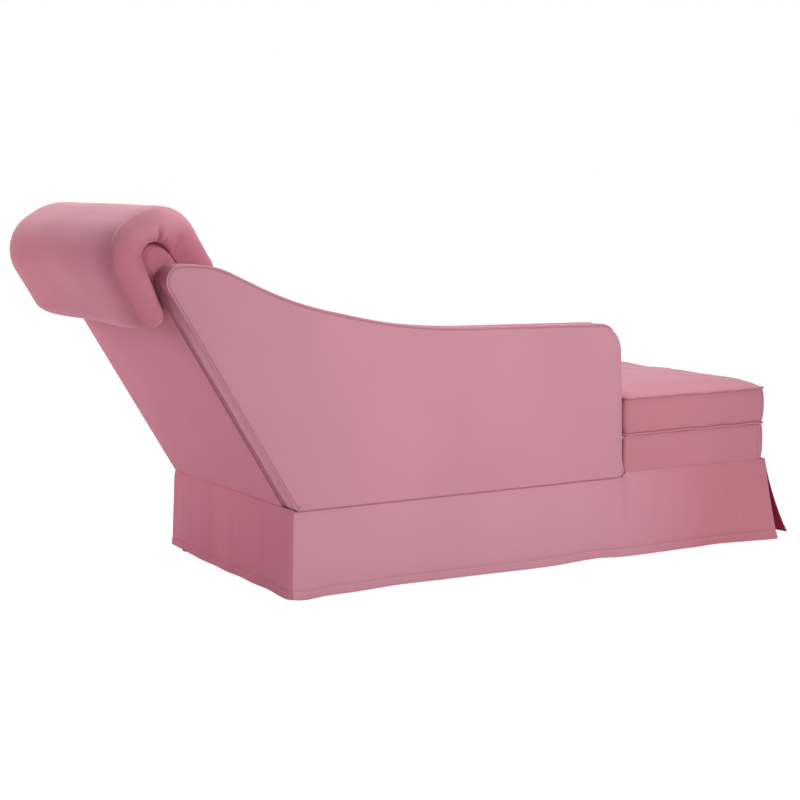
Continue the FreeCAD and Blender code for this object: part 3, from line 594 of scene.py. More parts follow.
def make_arm():
    loop = rounded(arm_corners, 0.005)
    normals = outward(loop)
    front = smoothstep(0.35, 0.95, normals[:, 0]) * smoothstep(box_top + 0.01, box_top + 0.075, loop[:, 1])
    bottom = smoothstep(0.5, 0.95, -normals[:, 1])
    profile = roll_profile(front, bottom)
    seam_inset, seam_depth = profile[0]
    sides = {"outer": (0.0, 1.0, 11), "inner": (arm_thickness, -1.0, 12)}
    for side, (face_y, inward, seed) in sides.items():
        def ripple(points):
            return 0.00025 * waves(in_side_view(points, 0.0), 0.035, seed)

        shell = Shell()
        rings = []
        for inset, depth in profile:
            ring = loop - normals * inset[:, None]
            rings.append(in_side_view(ring, face_y + inward * (depth + ripple(ring))))
        shell.grid(rings, closed=True)
        flat, faces, gap, _ = fill(rings[-1][:, [0, 2]], 0.011)
        swell = 0.0022 * smoothstep(0.0, 0.11, gap)
        hills = 0.0007 * waves(flat, 0.28, seed + 3) * smoothstep(0.0, 0.05, gap)
        edge_ripple = ripple(flat) * fading(0.0, 0.03, gap)
        shell.patch(in_side_view(flat, face_y - inward * (swell + hills - edge_ripple)), faces)
        hidden = ["arm_cover_outer", "arm_foam"] if side == "outer" else ["arm_cover_inner"]
        panel = shell.piece("arm_panel_" + side, velvet_face, "velvet", "frame", hidden)
        shell = Shell()
        inset = piping_radius + 0.0024 * front + 0.002 * bottom
        path = loop - normals * inset[:, None]
        depth = seam_depth - 0.001 * (1.0 - front) + 0.0002 * waves(in_side_view(path, 0.0), 0.05, seed + 5)
        path = in_side_view(path, face_y + inward * depth)
        thick = piping_radius * (1.0 + 0.02 * waves(path, 0.03, seed + 6))
        tube(shell, path, in_side_view(normals, 0.0), np.array([0.0, 1.0, 0.0]), thick)
        shell.piece("arm_piping_strip_" + side, velvet_cord, "velvet", "frame", ["arm_piping_" + side])
    shell = Shell()
    rows = []
    for share in np.linspace(0.0, 1.0, 13):
        across = seam_depth + (arm_thickness - 2.0 * seam_depth) * share
        inset = 0.0012 + 0.003 * abs(2.0 * share - 1.0) ** 5
        ring = loop - normals * inset
        ring = ring - normals * 0.0004 * waves(in_side_view(ring, across), 0.12, 21)[:, None]
        rows.append(in_side_view(ring, across))
    shell.grid(rows, closed=True)
    shell.piece("arm_boxing_strip", velvet_strip, "velvet", "frame", ["arm_boxing"])


# Back
def make_back():
    corners = [
        (lean_x(0.0, back_hem), back_hem, 0.003),
        (*lean_point(0.0, back_length), back_nose),
        (*lean_point(back_thickness, back_length), back_nose),
        (lean_x(back_thickness, back_hem), back_hem, 0.003),
    ]
    loop = rounded(corners, 0.006)
    apart = np.linalg.norm(loop - np.roll(loop, 1, axis=0), axis=1)
    loop = loop[(apart > 0.0015) | (loop[:, 1] < 0.7)]
    normals = outward(loop)
    seam, seam_width = 62.0, 7.0
    up_slope = slope_of(*loop.T)
    rim = (0.006 + 0.011 * smoothstep(0.44, 0.6, up_slope))[:, None]
    sides = {"near": (back_near, 1.0), "far": (base_width, -1.0)}
    rings = []
    for side, (face_y, inward) in sides.items():
        some = []
        for angle in np.radians(np.linspace(90.0, 0.0, 12)):
            groove = 0.001 * math.exp(-((math.degrees(angle) - seam) / seam_width) ** 2)
            inset = rim * (1.0 - math.cos(angle)) + groove
            depth = rim[:, 0] * (1.0 - math.sin(angle)) + groove
            some.append(in_side_view(loop - normals * inset, face_y + inward * depth))
        if inward < 0:
            some.reverse()
        rings.append(some)
    between = []
    deepest_rim = 0.017
    start = back_near + deepest_rim
    end = base_width - deepest_rim
    forward = normals @ np.array([lean_cos, lean_sin])
    facing_front = smoothstep(0.75, 0.98, forward)
    facing_rear = smoothstep(0.75, 0.98, -forward)
    clear = smoothstep(0.24, 0.33, up_slope) * fading(0.44, 0.52, up_slope)
    for y in np.linspace(start, end, 40)[1:-1]:
        across = math.sin(math.pi * (y - start) / (end - start)) ** 0.6
        rear_swell = facing_rear * smoothstep(0.0, 0.08, up_slope) * 0.003
        swell = (facing_front * clear * 0.006 + rear_swell) * across
        line = in_side_view(loop, y)
        swell = swell + 0.0006 * waves(line, 0.22, 31) * (facing_front * clear + facing_rear)
        between.append(in_side_view(loop + normals * swell[:, None], y))
    shell = Shell()
    shell.grid([*rings[0], *between, *rings[1]], closed=True)
    for side, (face_y, inward) in sides.items():
        ring = rings[0][0] if inward > 0 else rings[1][-1]
        flat, faces, gap, _ = fill(ring[:, [0, 2]], 0.007)
        above_arm = smoothstep(0.745, 0.785, flat[:, 1]) if side == "near" else 0.4
        swell = (0.0006 + 0.0045 * above_arm) * smoothstep(0.0, 0.03, gap)
        shell.patch(in_side_view(flat, face_y - inward * swell), faces)
    back = shell.piece("back_upholstery", velvet_end, "velvet", "frame",
                       ["back_cover", "back_foam", "back_outer_panel", "back_outer_padding"])


# Seat cushion
def cushion_corners(rear):
    notch = arm_thickness + 0.004
    notch_x = before_arm + 0.001
    draw = 0.004
    wide = 5.4
    return [
        (rear, notch, 0.01), (notch_x, notch, 0.01), (notch_x, 0.0, 0.016),
        ((before_arm + base_length) / 2.0, draw / 4.0, wide), (base_length, 0.0, 0.022),
        (base_length - draw, base_width / 2.0, 2.0 * base_width), (base_length, base_width, 0.022),
        (base_length * 0.33, base_width - draw, wide), (rear, base_width, 0.01),
    ]


def make_cushion():
    rear_gap = back_thickness + 0.004
    rear_low = lean_x(rear_gap, cushion_low)
    loop = rounded(cushion_corners(rear_low), 0.007)
    normals = outward(loop)
    rear_share = fading(0.0, 0.1, loop[:, 0] - rear_low)

    def level(z, inset):
        ring = loop - normals * np.reshape(inset, (-1, 1))
        ring[:, 0] += (lean_x(rear_gap, z) - rear_low) * rear_share
        return at_height(ring, z)

    middle = (cushion_low + cushion_high) / 2.0
    wall_inset, rim_radius = 0.0045, 0.004
    bead_low = cushion_low + piping_radius
    bead_high = cushion_high - piping_radius
    seam = level(middle, 0.0)
    seam_wave = seam_waves(seam, 0.11, 0.035, 41)
    pucker = waves(seam, 0.045, 43)
    rows = []
    for share in np.linspace(0.0, 1.0, 19):
        z = bead_low + (bead_high - bead_low) * share
        away = abs(2.0 * share - 1.0)
        bulge = 1.0 - away ** 2.6
        near_seam = away ** 3
        inset = wall_inset - 0.0065 * bulge + 0.0006 * pucker * near_seam * (1.0 - near_seam) * 4.0
        row = level(z, inset)
        row[:, 2] += seam_wave * near_seam
        rows.append(row)
    shell = Shell()
    shell.grid(rows, closed=True)
    rim = []
    for angle in np.radians(np.linspace(0.0, 60.0, 4)):
        row = level(bead_high, wall_inset + rim_radius * math.sin(angle))
        row[:, 2] += seam_wave + rim_radius * (1.0 - math.cos(angle))
        rim.append(row)
    shell.grid(rim, closed=True)
    flat, faces, gap, nearest = fill(rim[-1][:, :2], 0.012)
    rise = 0.68 * (1.0 - (1.0 - np.clip(gap / 0.085, 0.0, 1.0)) ** 2.3) + 0.32 * smoothstep(0.0, 0.3, gap)
    tension = waves(flat, 0.05, 44) * smoothstep(0.0, 0.012, gap) * fading(0.02, 0.1, gap)
    z = rim[-1][nearest, 2] + cushion_plump * rise + 0.0009 * tension
    z += 0.0012 * waves(flat, 0.3, 45) * smoothstep(0.0, 0.1, gap)
    shell.patch(at_height(flat, z), faces)
    under = level(cushion_low + 0.0005, 0.0075)
    shell.grid([rows[0], level(cushion_low + 0.0012, 0.0058), under], closed=True)
    flat, faces, _, _ = fill(under[:, :2], 0.03)
    shell.patch(at_height(flat, cushion_low + 0.0005), faces)
    cushion = shell.piece("seat_cushion_cover", velvet_top, "velvet", "seat_cushion",
                          ["cushion_cover", "cushion_foam"])
    # The cushion's sides below the top piping take velvet_side, darker than velvet_top: painted shade on the
    # sides beside the lit top.
    second_material(cushion, velvet_side, lambda polygon: polygon.center.z < bead_high)
    for name, z in (("bottom", bead_low), ("top", bead_high)):
        shell = Shell()
        path = level(z, piping_radius - 0.0015)
        path[:, 2] += seam_wave
        thick = piping_radius * (1.0 + 0.03 * waves(path, 0.03, 46))
        tube(shell, path, at_height(normals, 0.0), np.array([0.0, 0.0, 1.0]), thick)
        shell.piece("cushion_piping_cord_" + name, velvet_side, "velvet", "seat_cushion",
                    ["cushion_piping_" + name])


# Headrest pillow
pillow_low = 0.498
pillow_top = 0.736
pillow_rear = -0.0875
pillow_front = 0.1545
slot_gap = 0.0006


def saddle_lines():
    """The pillow's section across the back: matching points of its outer and its inner line, from
    the lowest point of the rear lobe over the top to the lowest point of the front lobe."""
    rear_tip = (-slot_gap - pillow_rear) / 2.0
    front_tip = (pillow_front - back_thickness - slot_gap) / 2.0
    rear_centre = (pillow_rear + rear_tip, pillow_low + rear_tip)
    front_centre = (pillow_front - front_tip, pillow_low + front_tip)
    nose = back_nose + slot_gap
    nose_level = back_length - back_nose
    rear_turn = 0.095
    front_turn = 0.125
    middle = ((pillow_rear + rear_turn + pillow_front - front_turn) / 2.0, pillow_top)
    rear_arc = arc_points((pillow_rear + rear_turn, pillow_top - rear_turn), rear_turn, 180.0, 90.0, 40)
    front_arc = arc_points((pillow_front - front_turn, pillow_top - front_turn), front_turn, 90.0, 0.0, 40)
    slot_front = back_thickness + slot_gap
    matched = [
        (16, arc_points(rear_centre, rear_tip, 270.0, 180.0, 20),
         arc_points(rear_centre, rear_tip, 270.0, 360.0, 20)),
        (16, np.linspace((pillow_rear, rear_centre[1]), (pillow_rear, nose_level), 10),
         np.linspace((-slot_gap, rear_centre[1]), (-slot_gap, nose_level), 10)),
        (58, np.concatenate([[(pillow_rear, nose_level)], rear_arc, [middle]]),
         arc_points((back_nose, nose_level), nose, 180.0, 90.0, 30)),
        (58, np.concatenate([[middle], front_arc]),
         arc_points((back_thickness - back_nose, nose_level), nose, 90.0, 0.0, 30)),
        (16, np.linspace(front_arc[-1], (pillow_front, front_centre[1]), 10),
         np.linspace((slot_front, nose_level), (slot_front, front_centre[1]), 10)),
        (16, arc_points(front_centre, front_tip, 0.0, -90.0, 20),
         arc_points(front_centre, front_tip, 180.0, 270.0, 20)),
    ]
    lines = []
    for number in (1, 2):
        pieces = [even(part[number], part[0] + 1)[:-1] for part in matched]
        lines.append(np.concatenate([*pieces, matched[-1][number][-1:]]))
    return lines


# Gathers round the hole in each end: place along the section, depth, width, and how far out
# they reach. Places are degrees round the back's nose: 180 is its rear side, 0 its front side.
near_gathers = [(70.0, 0.0085, 4.5, 0.62), (12.0, 0.007, 5.0, 0.55), (31.0, 0.004, 5.0, 0.38),
    (96.0, 0.003, 5.0, 0.36), (121.0, 0.005, 5.5, 0.46), (141.0, 0.0045, 5.0, 0.55),
    (159.0, 0.002, 5.0, 0.34), (52.0, 0.0028, 4.0, 0.3), (83.0, 0.0022, 4.0, 0.26), (185.0, 0.002, 3.0, 0.34),
    (196.0, 0.0024, 3.0, 0.4)]
far_gathers = [(60.0, 0.008, 6.0, 0.5), (20.0, 0.006, 6.0, 0.5), (95.0, 0.004, 5.0, 0.4),
    (118.0, 0.006, 6.0, 0.45), (150.0, 0.0045, 5.0, 0.45), (40.0, 0.0035, 5.0, 0.35)]

# Each end's profile from the hole's rim to the long face: share of the thickness, and depth
# behind the end's outermost point. The rear side has a ridge and a valley behind it.
near_rear = [(0.0, 0.0465), (0.04, 0.038), (0.12, 0.0265), (0.24, 0.016), (0.38, 0.009), (0.54, 0.0052),
    (0.7, 0.0044), (0.82, 0.006), (0.89, 0.0086), (0.918, 0.0122), (0.89, 0.018), (0.838, 0.024),
    (0.856, 0.03), (0.9, 0.04), (0.946, 0.054), (0.984, 0.076), (1.0, 0.108)]
near_top = [(0.0, 0.0465), (0.04, 0.037), (0.12, 0.0245), (0.24, 0.0145), (0.38, 0.0085), (0.54, 0.0072),
    (0.7, 0.0105), (0.82, 0.0168), (0.89, 0.0232), (0.925, 0.0285), (0.938, 0.0325), (0.948, 0.037),
    (0.962, 0.043), (0.978, 0.052), (0.991, 0.065), (1.0, 0.082), (1.0, 0.104)]
near_front = [(0.0, 0.0625), (0.04, 0.0618), (0.12, 0.0611), (0.24, 0.0608), (0.38, 0.0612), (0.54, 0.063),
    (0.68, 0.0665), (0.79, 0.0715), (0.87, 0.0775), (0.915, 0.082), (0.935, 0.0855), (0.95, 0.0895),
    (0.965, 0.0945), (0.98, 0.101), (0.992, 0.109), (1.0, 0.12), (1.003, 0.134)]
far_round = [(0.0, 0.013), (0.04, 0.0092), (0.12, 0.0058), (0.24, 0.0028), (0.38, 0.0006), (0.52, 0.0004),
    (0.64, 0.004), (0.74, 0.01), (0.82, 0.0172), (0.88, 0.025), (0.92, 0.033), (0.95, 0.042), (0.972, 0.052),
    (0.987, 0.063), (0.996, 0.075), (1.0, 0.089), (1.0, 0.107)]

# The rim of the hole: its place along the section, with its depth and slope of the back
rim_line = [(0, -0.044, 0.498), (8, -0.02, 0.508), (16, -0.0125, 0.535), (32, -0.0015, 0.612),
    (45, 0.0035, 0.639), (60, 0.0115, 0.653), (75, 0.0235, 0.6605), (90, 0.0375, 0.661), (105, 0.051, 0.6535),
    (120, 0.0615, 0.639), (134, 0.0675, 0.621), (148, 0.0707, 0.6), (164, 0.0745, 0.55), (172, 0.086, 0.513),
    (179, 0.115, 0.498)]


def gather_depth(angle, reach, gathers):
    total = np.zeros(reach.shape)
    for place, depth, width, length in gathers:
        across = np.exp(-((angle - place) / (width * (1.0 + 0.7 * reach))) ** 2)
        fade = fading(length * 0.3, length, reach) * (0.3 + 0.7 * smoothstep(0.0, 0.14, reach))
        total += depth * across * fade
    return total


def clear_of_arm(points):
    """Moves what would lie in the arm, or just above its top, towards the seat."""
    loop = rounded(arm_corners, 0.005)
    top = loop[loop[:, 1] > 0.5 * (box_top + arm_corners[4][1])]
    top = top[np.argsort(top[:, 0])]
    rear_side = points[..., 0] * lean_cos + (points[..., 2] - back_foot) * lean_sin
    over = points[..., 2] - np.interp(points[..., 0], top[:, 0], top[:, 1])
    share = fading(0.0, 0.014, over) * smoothstep(-0.002, 0.01, rear_side)
    least = arm_thickness + 0.0022
    y = points[..., 1]
    moved = 0.5 * (y + least + np.sqrt((y - least) ** 2 + 0.003 ** 2))
    result = points.copy()
    result[..., 1] = y + share * (moved - y)
    return result


def pillow_lining(sheet, inner):
    """The slot's cloth: a row for each row of the sheet, between the rims of the two holes."""
    reach = 0.03
    first, last = sheet[:, :1], sheet[:, -1:]
    along = (sheet[0, :, 1] - sheet[0, 0, 1]) / (sheet[0, -1, 1] - sheet[0, 0, 1])
    ys = first[..., 1] + (last[..., 1] - first[..., 1]) * along
    point = lean_point(*inner.T)[:, None]
    to_near = fading(0.0, reach, ys - first[..., 1])[..., None]
    to_far = fading(0.0, reach, last[..., 1] - ys)[..., None]
    plane = point + (first[..., [0, 2]] - point) * to_near + (last[..., [0, 2]] - point) * to_far
    lining = in_side_view(plane, ys)
    lining[0] = sheet[0]
    lining[-1] = sheet[-1]
    return lining


def make_pillow():
    outer, inner = saddle_lines()
    count = len(outer)
    gap = outer - inner
    thickness = np.linalg.norm(gap, axis=1)
    unit = gap / np.maximum(thickness, 1e-6)[:, None]
    full = np.sqrt(np.clip(1.0 - (1.0 - np.clip(thickness / 0.079, 0.0, 1.0)) ** 2, 0.0, 1.0))
    order = np.arange(count)
    angles = np.interp(order, [0, 32, 90, 148, count - 1], [215.0, 180.0, 90.0, 0.0, -35.0])
    rear_share = smoothstep(88.0, 150.0, angles)
    front_share = fading(-6.0, 62.0, angles)
    rim = smooth_through(rim_line, order)
    for _ in range(10):
        rim[1:-1] = (rim[:-2] + 2.0 * rim[1:-1] + rim[2:]) / 4.0
    spread = np.linspace(0.0, 1.0, 64)
    profiles = [smooth_through([(k, *knot) for k, knot in enumerate(knots)], spread * (len(knots) - 1))
                for knots in (near_rear, near_top, near_front, far_round)]
    lobe_rise = 0.01
    end_reach = 0.22
    far_plane = base_width + 0.02
    whole = full[:, None]

    def end_rows(near):
        """The rows of one end, from the hole's rim to the long face."""
        shares = (rear_share, 1.0 - rear_share - front_share, front_share)
        profile = sum(part[:, None, None] * line for part, line in zip(shares, profiles))
        if not near:
            profile = np.broadcast_to(profiles[3], profile.shape)
        share = profile[..., 0]
        closed = (0.04 if near else 0.072) + 0.06 * spread
        gathers = near_gathers if near else far_gathers
        dent = gather_depth(angles[:, None], np.clip(share, 0.0, 1.0), gathers) * whole
        behind = (profile[..., 1] + dent) * whole + closed * (1.0 - whole)
        ease = fading(0.0, 0.4, share)[..., None]
        start = inner[:, None] + (rim - inner)[:, None] * ease * (1.0 if near else 0.6)
        section = start + (outer[:, None] - start) * share[..., None]
        depth = behind if near else far_plane - behind
        return in_side_view(lean_point(*np.moveaxis(section, -1, 0)), depth)

    near_rows = end_rows(True)
    far_rows = end_rows(False)[:, ::-1]
    middle_columns = 56
    waist = 0.0065 * rear_share + 0.0015 * (1.0 - rear_share - front_share) + 0.006 * front_share
    share = np.arange(1, middle_columns + 1) / (middle_columns + 1.0)
    slim = (waist * full)[:, None] * np.sin(math.pi * share) ** 1.3
    section = outer[:, None] - unit[:, None] * slim[..., None]
    start, end = near_rows[:, -1:, 1], far_rows[:, :1, 1]
    middle_rows = in_side_view(lean_point(*np.moveaxis(section, -1, 0)), start + (end - start) * share)
    sheet = np.concatenate([near_rows, middle_rows, far_rows], axis=1)
    columns = sheet.shape[1]
    across, upward = unit.T
    direction = np.stack([across * lean_cos - upward * lean_sin, 0.0 * across,
                          across * lean_sin + upward * lean_cos], axis=1)[:, None]
    from_end = np.minimum(np.arange(columns), np.arange(columns)[::-1])
    long_face = smoothstep(34, 66, from_end)
    lumps = 0.0013 * waves(sheet, 0.2, 53) * whole
    sheet = sheet + direction * (lumps * long_face)[..., None]
    sheet[..., 1] += 0.0007 * waves(sheet, 0.05, 55) * (1.0 - long_face) * whole
    # The lobes end a little higher at both ends of the pillow.
    slope = slope_of(sheet[..., 0], sheet[..., 2])
    near_end = fading(0.0, end_reach, sheet[..., 1])
    far_end = smoothstep(far_plane - end_reach, far_plane, sheet[..., 1])
    lift = 0.004 + lobe_rise * near_end + lobe_rise * far_end
    lift = lift * fading(pillow_low, pillow_low + 0.11, slope)
    sheet[..., 0] -= lift * lean_sin
    sheet[..., 2] += lift * lean_cos
    sheet = clear_of_arm(sheet)
    shell = Shell()
    shell.grid(sheet)
    shell.grid(clear_of_arm(pillow_lining(sheet, inner)))
    pillow = shell.piece("headrest_pillow_cover", velvet_pillow, "velvet", "headrest_pillow",
                         ["pillow_cover", "pillow_fill"])


# Border between the cushion and the skirt
def border_piece(name, corners, seed, replaced, beside_back=None):
    line, normals = strip_path(corners, 0.008)
    levels = np.linspace(0.0, 1.0, 15)
    outer = []
    low, high = skirt_seam - 0.0005, deck_top - 0.0005
    seam_wave = seam_waves(line, 0.14, 0.05, seed)
    for share in levels:
        z = low + (high - low) * share
        away = abs(2.0 * share - 1.0)
        bulge = 0.0016 * (1.0 - away ** 2.2) - 0.0026 * away ** 8
        pucker = 0.0005 * waves(line, 0.055, seed + 2) * away ** 2 * (1.0 - away) * 4.0
        point = line + normals * (bulge + pucker)[:, None]
        outer.append(at_height(point, z + seam_wave * (1.0 - share) ** 3))
    depth = 0.0065
    inner = [at_height(line - normals * depth, low + (high - low) * share) for share in levels[::-1]]
    shell = Shell()
    loops = np.stack([*outer, *inner], axis=1)
    if beside_back is not None:
        reach = 0.1
        share = np.clip((beside_back + reach - loops[:, :, 0]) / reach, 0.0, 1.0)
        loops[:, :, 0] -= share * (loops[:, :, 2] - skirt_seam) * math.tan(back_lean)
    closed_strip(shell, loops)
    piece = shell.piece(name, velvet_side, "velvet", "frame", replaced, sharp=50.0)


def make_border():
    turn = 0.026
    gap = 0.0004
    rear = lean_x(back_thickness + 0.004, skirt_seam)
    corner_x = base_length - 0.03
    arm_line = [(before_arm, 0.048), (before_arm, 0.0, 0.007), (corner_x - gap, 0.0)]
    border_piece("border_band_arm_side", arm_line, 61, ["border_cover_arm_side", "border_padding"])
    border_piece("border_band_foot_end", [(corner_x + gap, 0.0), (base_length, 0.0, turn),
                                          (base_length, base_width, turn), (corner_x + gap, base_width)],
                 62, ["border_cover_foot_end"])
    border_piece("border_band_open_side", [(corner_x - gap, base_width), (rear, base_width)], 63,
                 ["border_cover_open_side"], rear)


# Skirt
skirt_cloth = 0.0024
hem_fold = 0.02
foot_flare = 0.084
hem_arm_side = [(0.0, -0.006), (0.063, -0.004), (0.131, 0.001), (0.2, -0.003), (0.272, -0.007),
    (0.345, -0.006), (0.421, -0.005), (0.51, -0.001), (0.595, 0.003), (0.65, 0.006), (0.707, 0.009),
    (0.77, 0.005), (0.83, 0.004), (0.876, 0.02), (0.924, 0.026), (0.996, 0.028), (1.06, 0.026),
    (1.124, 0.026), (1.177, 0.024), (1.263, 0.038), (1.357, 0.055)]
hem_open_side = [(0.0, 0.004), (0.136, 0.003), (0.299, 0.008), (0.476, 0.006), (0.68, 0.016), (0.857, 0.014),
    (1.047, 0.028), (1.224, 0.036), (1.357, 0.055)]
level_arm_side = [(0.0, -0.005), (0.022, -0.0082), (0.08, -0.0045), (0.2, -0.003), (0.45, -0.0045),
    (0.65, -0.0045), (0.85, -0.001), (1.05, 0.0), (1.357, 0.0)]
level_open_side = [(0.0, 0.0055), (0.1, -0.002), (0.65, -0.0045), (1.357, 0.0)]
level_head_end = [(0.006, -0.005), (0.028, -0.0082), (0.12, -0.0045), (0.42, 0.0), (0.646, 0.006)]
level_foot_end = [(0.003, 0.0), (0.643, 0.0)]
hem_head_end = [(0.006, 0.005), (0.19, 0.008), (0.39, 0.011), (0.646, 0.008)]
hem_foot_end = [(0.003, 0.084), (0.13, 0.07), (0.258, 0.076), (0.388, 0.068), (0.515, 0.074), (0.643, 0.084)]


def skirt_panel(side, between, top, seam_out, hem, levels, place, cloth, seed, curl, spread):
    """A hanging panel: place(run, out, z) gives a point, run along the seam, out away from it.
    curl bends its two ends outwards, and spread draws them apart towards the hem."""
    start, end = between
    curl_reach, spread_reach = 0.01, 0.025
    stitch_width = 0.0016
    runs = np.arange(start, end, 0.006)
    runs = np.append(runs, end)
    hem_out = smooth_through(hem, runs)
    lowered = np.outer(smooth_through(levels, runs), (0.0, 0.0, 1.0))
    seam = np.array([seam_out(run) for run in runs])
    drop = top - hem_bottom
    fold = hem_fold / drop
    heights = np.concatenate([np.linspace(1.0, fold + 0.012, 20), [fold + 0.004, fold, fold - 0.004],
                              np.linspace(fold - 0.012, 0.012, 7), [0.004, 0.0]])
    folds = waves(at_height(runs, 0.0), 0.16, seed)
    fine = waves(at_height(runs, 0.0), 0.05, seed + 1)
    outer = []
    inner = []
    for level in heights:
        fall = 1.0 - level
        above_stitch = (level * drop - hem_fold) / stitch_width
        stitch = 0.0011 * math.exp(-above_stitch * above_stitch)
        hem_thick = 0.001 if level * drop < hem_fold else 0.0
        rounding = 0.0012 * max(0.0, 1.0 - level / 0.008)
        out = seam + (hem_out - seam) * (0.62 * fall + 0.38 * fall * fall)
        out = out + 0.0012 * folds * fall + 0.0005 * fine * math.sin(math.pi * min(fall, 1.0))
        for away, bend in ((runs - start, curl[0]), (end - runs, curl[1])):
            out = out + np.exp(-away / curl_reach) * bend * fall
        tuck = 0.0022 * math.exp(-fall * drop / 0.004)
        z = hem_bottom + level * drop
        sideways = runs - spread[0] * fall * np.exp(-(runs - start) / spread_reach)
        sideways = sideways + spread[1] * fall * np.exp(-(end - runs) / spread_reach)
        outer.append(place(sideways, out + hem_thick - stitch - rounding - tuck, z) + lowered * fall)
        inner.append(place(sideways, out - skirt_cloth + 0.3 * stitch, z) + lowered * fall)
    shell = Shell()
    loops = np.stack([*outer, *inner[::-1]], axis=1)
    closed_strip(shell, loops)
    piece = shell.piece("skirt_panel_" + side, cloth, "velvet", "frame", ["skirt_" + side], sharp=60.0)
    return piece


def make_skirt():
    under_arm = 0.0085
    seam_gap = 0.0006

    def arm_seam(run):
        return -under_arm * (1.0 - float(smoothstep(before_arm - 0.004, before_arm + 0.004, run)))

    def hung_from(top, z):
        return hem_bottom + (z - hem_bottom) / (skirt_seam - hem_bottom) * (top - hem_bottom)

    def beside(plane, side, step_at, rear_top):
        """A long side; its seam lies at rear_top up to step_at, and higher from there on."""
        def place(runs, out, z):
            top = np.where(runs < step_at, rear_top - seam_gap, skirt_seam)
            return np.column_stack([runs, plane + side * out, hung_from(top, z)])
        return place

    def across(plane, side):
        return lambda runs, out, z: at_height(np.column_stack([plane + side * out, runs]), z)

    back_ends = lean_x(0.0, skirt_seam) + (back_thickness + 0.004) / lean_cos
    place_arm = beside(0.0, -1.0, before_arm, box_top)
    place_open = beside(base_width, 1.0, back_ends, back_hem)

    def plain_seam(run):
        return 0.0

    long_run = (0.0028, base_length - 0.0012)
    skirt_panel("arm_side", long_run, skirt_seam, arm_seam, hem_arm_side, level_arm_side, place_arm,
                velvet_skirt, 71, (0.0, -0.0015), (0.0068, 0.0))
    skirt_panel("open_side", long_run, skirt_seam, plain_seam, hem_open_side, level_open_side, place_open,
                velvet_skirt, 73, (0.0, -0.0015), (0.0068, 0.0))
    skirt_panel("head_end", (0.0082, base_width), back_hem - seam_gap, plain_seam, hem_head_end,
                level_head_end, across(0.0, -1.0), velvet_end, 75, (0.0, 0.0), (0.0022, 0.003))
    panel = skirt_panel("foot_end", (0.0035, base_width - 0.0035), skirt_seam, plain_seam, hem_foot_end,
                        level_foot_end, across(base_length, 1.0), velvet_side, 77, (-0.001, -0.001),
                        (0.0, 0.0))
    # The foot-end skirt's inward faces take the dark red velvet: painted shade inside the foot corners.
    second_material(panel, velvet_painted_shade, lambda polygon: polygon.normal.x < -0.3)


def thin_panel(name, corners, low, high, sag, material, slot, replaced):
    """A flat closed panel of cloth with a rounded outline; its middle lies higher by sag."""
    loop = rounded(corners, 0.012)
    flat, faces, gap, _ = fill(loop, 0.022)
    bow = sag * smoothstep(0.0, 0.2, gap)
    bow = bow + 0.0006 * waves(flat, 0.2, 91) * smoothstep(0.0, 0.05, gap)
    shell = Shell()
    for z in (low, high):
        shell.patch(at_height(flat, z + bow), faces)
    shell.grid([at_height(loop, z) for z in (low, high)], closed=True)
    panel = shell.piece(name, material, slot, "frame", replaced)


def make_deck_and_dust_cover():
    rear = lean_x(back_thickness + 0.003, deck_top)
    inset = 0.0035
    notch = arm_thickness + 0.006
    corners = [
        (rear, notch, 0.006), (before_arm + inset, notch, 0.006), (before_arm + inset, inset, 0.01),
        (base_length - inset, inset, 0.022), (base_length - inset, base_width - inset, 0.022),
        (rear, base_width - inset, 0.006),
    ]
    thin_panel("deck_panel", corners, deck_top - 0.0016, deck_top - 0.0003, 0.0, lining_cloth, "lining",
               ["deck_cover"])
    low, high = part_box("dust_cover")
    x0, y0 = low.x - head_plane, low.y - arm_plane
    x1, y1 = high.x - head_plane, high.y - arm_plane
    corners = [(x0, y0, 0.004), (x1, y0, 0.004), (x1, y1, 0.004), (x0, y1, 0.004)]
    thin_panel("dust_cover_panel", corners, low.z, high.z, -0.0015, dust_cloth, "dust_cloth",
               ["dust_cover"])


def make_pleats():
    """The cloth that closes each open foot corner from behind, folded round the box's corner."""
    reach = 0.09
    for name, side in (("arm_corner", -1), ("open_corner", 1)):
        hem = hem_arm_side if side < 0 else hem_open_side
        corner_y = base_width if side > 0 else 0.0
        side_hem = float(smooth_through(hem, np.array([base_length - 0.06]))[0])
        foot_hem = foot_flare - 0.018
        inset = skirt_cloth + 0.0045
        top = box_top - 0.0145
        outer = []
        inner = []
        for share in np.linspace(0.0, 1.0, 22):
            z = hem_bottom + 0.001 + (top - hem_bottom) * (1.0 - share)
            fall = (skirt_seam - z) / (skirt_seam - hem_bottom)
            start = np.array([base_length - reach, corner_y + side * (side_hem * fall - inset)])
            fold = np.array([base_length - 0.003, corner_y - side * 0.003])
            end = np.array([base_length + foot_hem * fall - inset, corner_y - side * reach])
            line, normals = strip_path([tuple(start), (*fold, 0.006), tuple(end)], 0.005)
            if side > 0:
                normals = -normals
            outer.append(at_height(line, z))
            inner.append(at_height(line - normals * skirt_cloth, z))
        count = min(len(row) for row in outer)
        outer, inner = ([even(row, count) for row in rows] for rows in (outer, inner))
        shell = Shell()
        closed_strip(shell, np.stack([*outer, *inner[::-1]], axis=1))
        # The pleat insert takes the dark red velvet: painted shade in the corner.
        piece = shell.piece("pleat_insert_" + name, velvet_painted_shade, "velvet", "frame", ["skirt_pleat_" + name],
                            sharp=60.0)


make_arm()
make_back()
make_cushion()
make_pillow()
make_border()
make_skirt()
make_deck_and_dust_cover()
make_pleats()


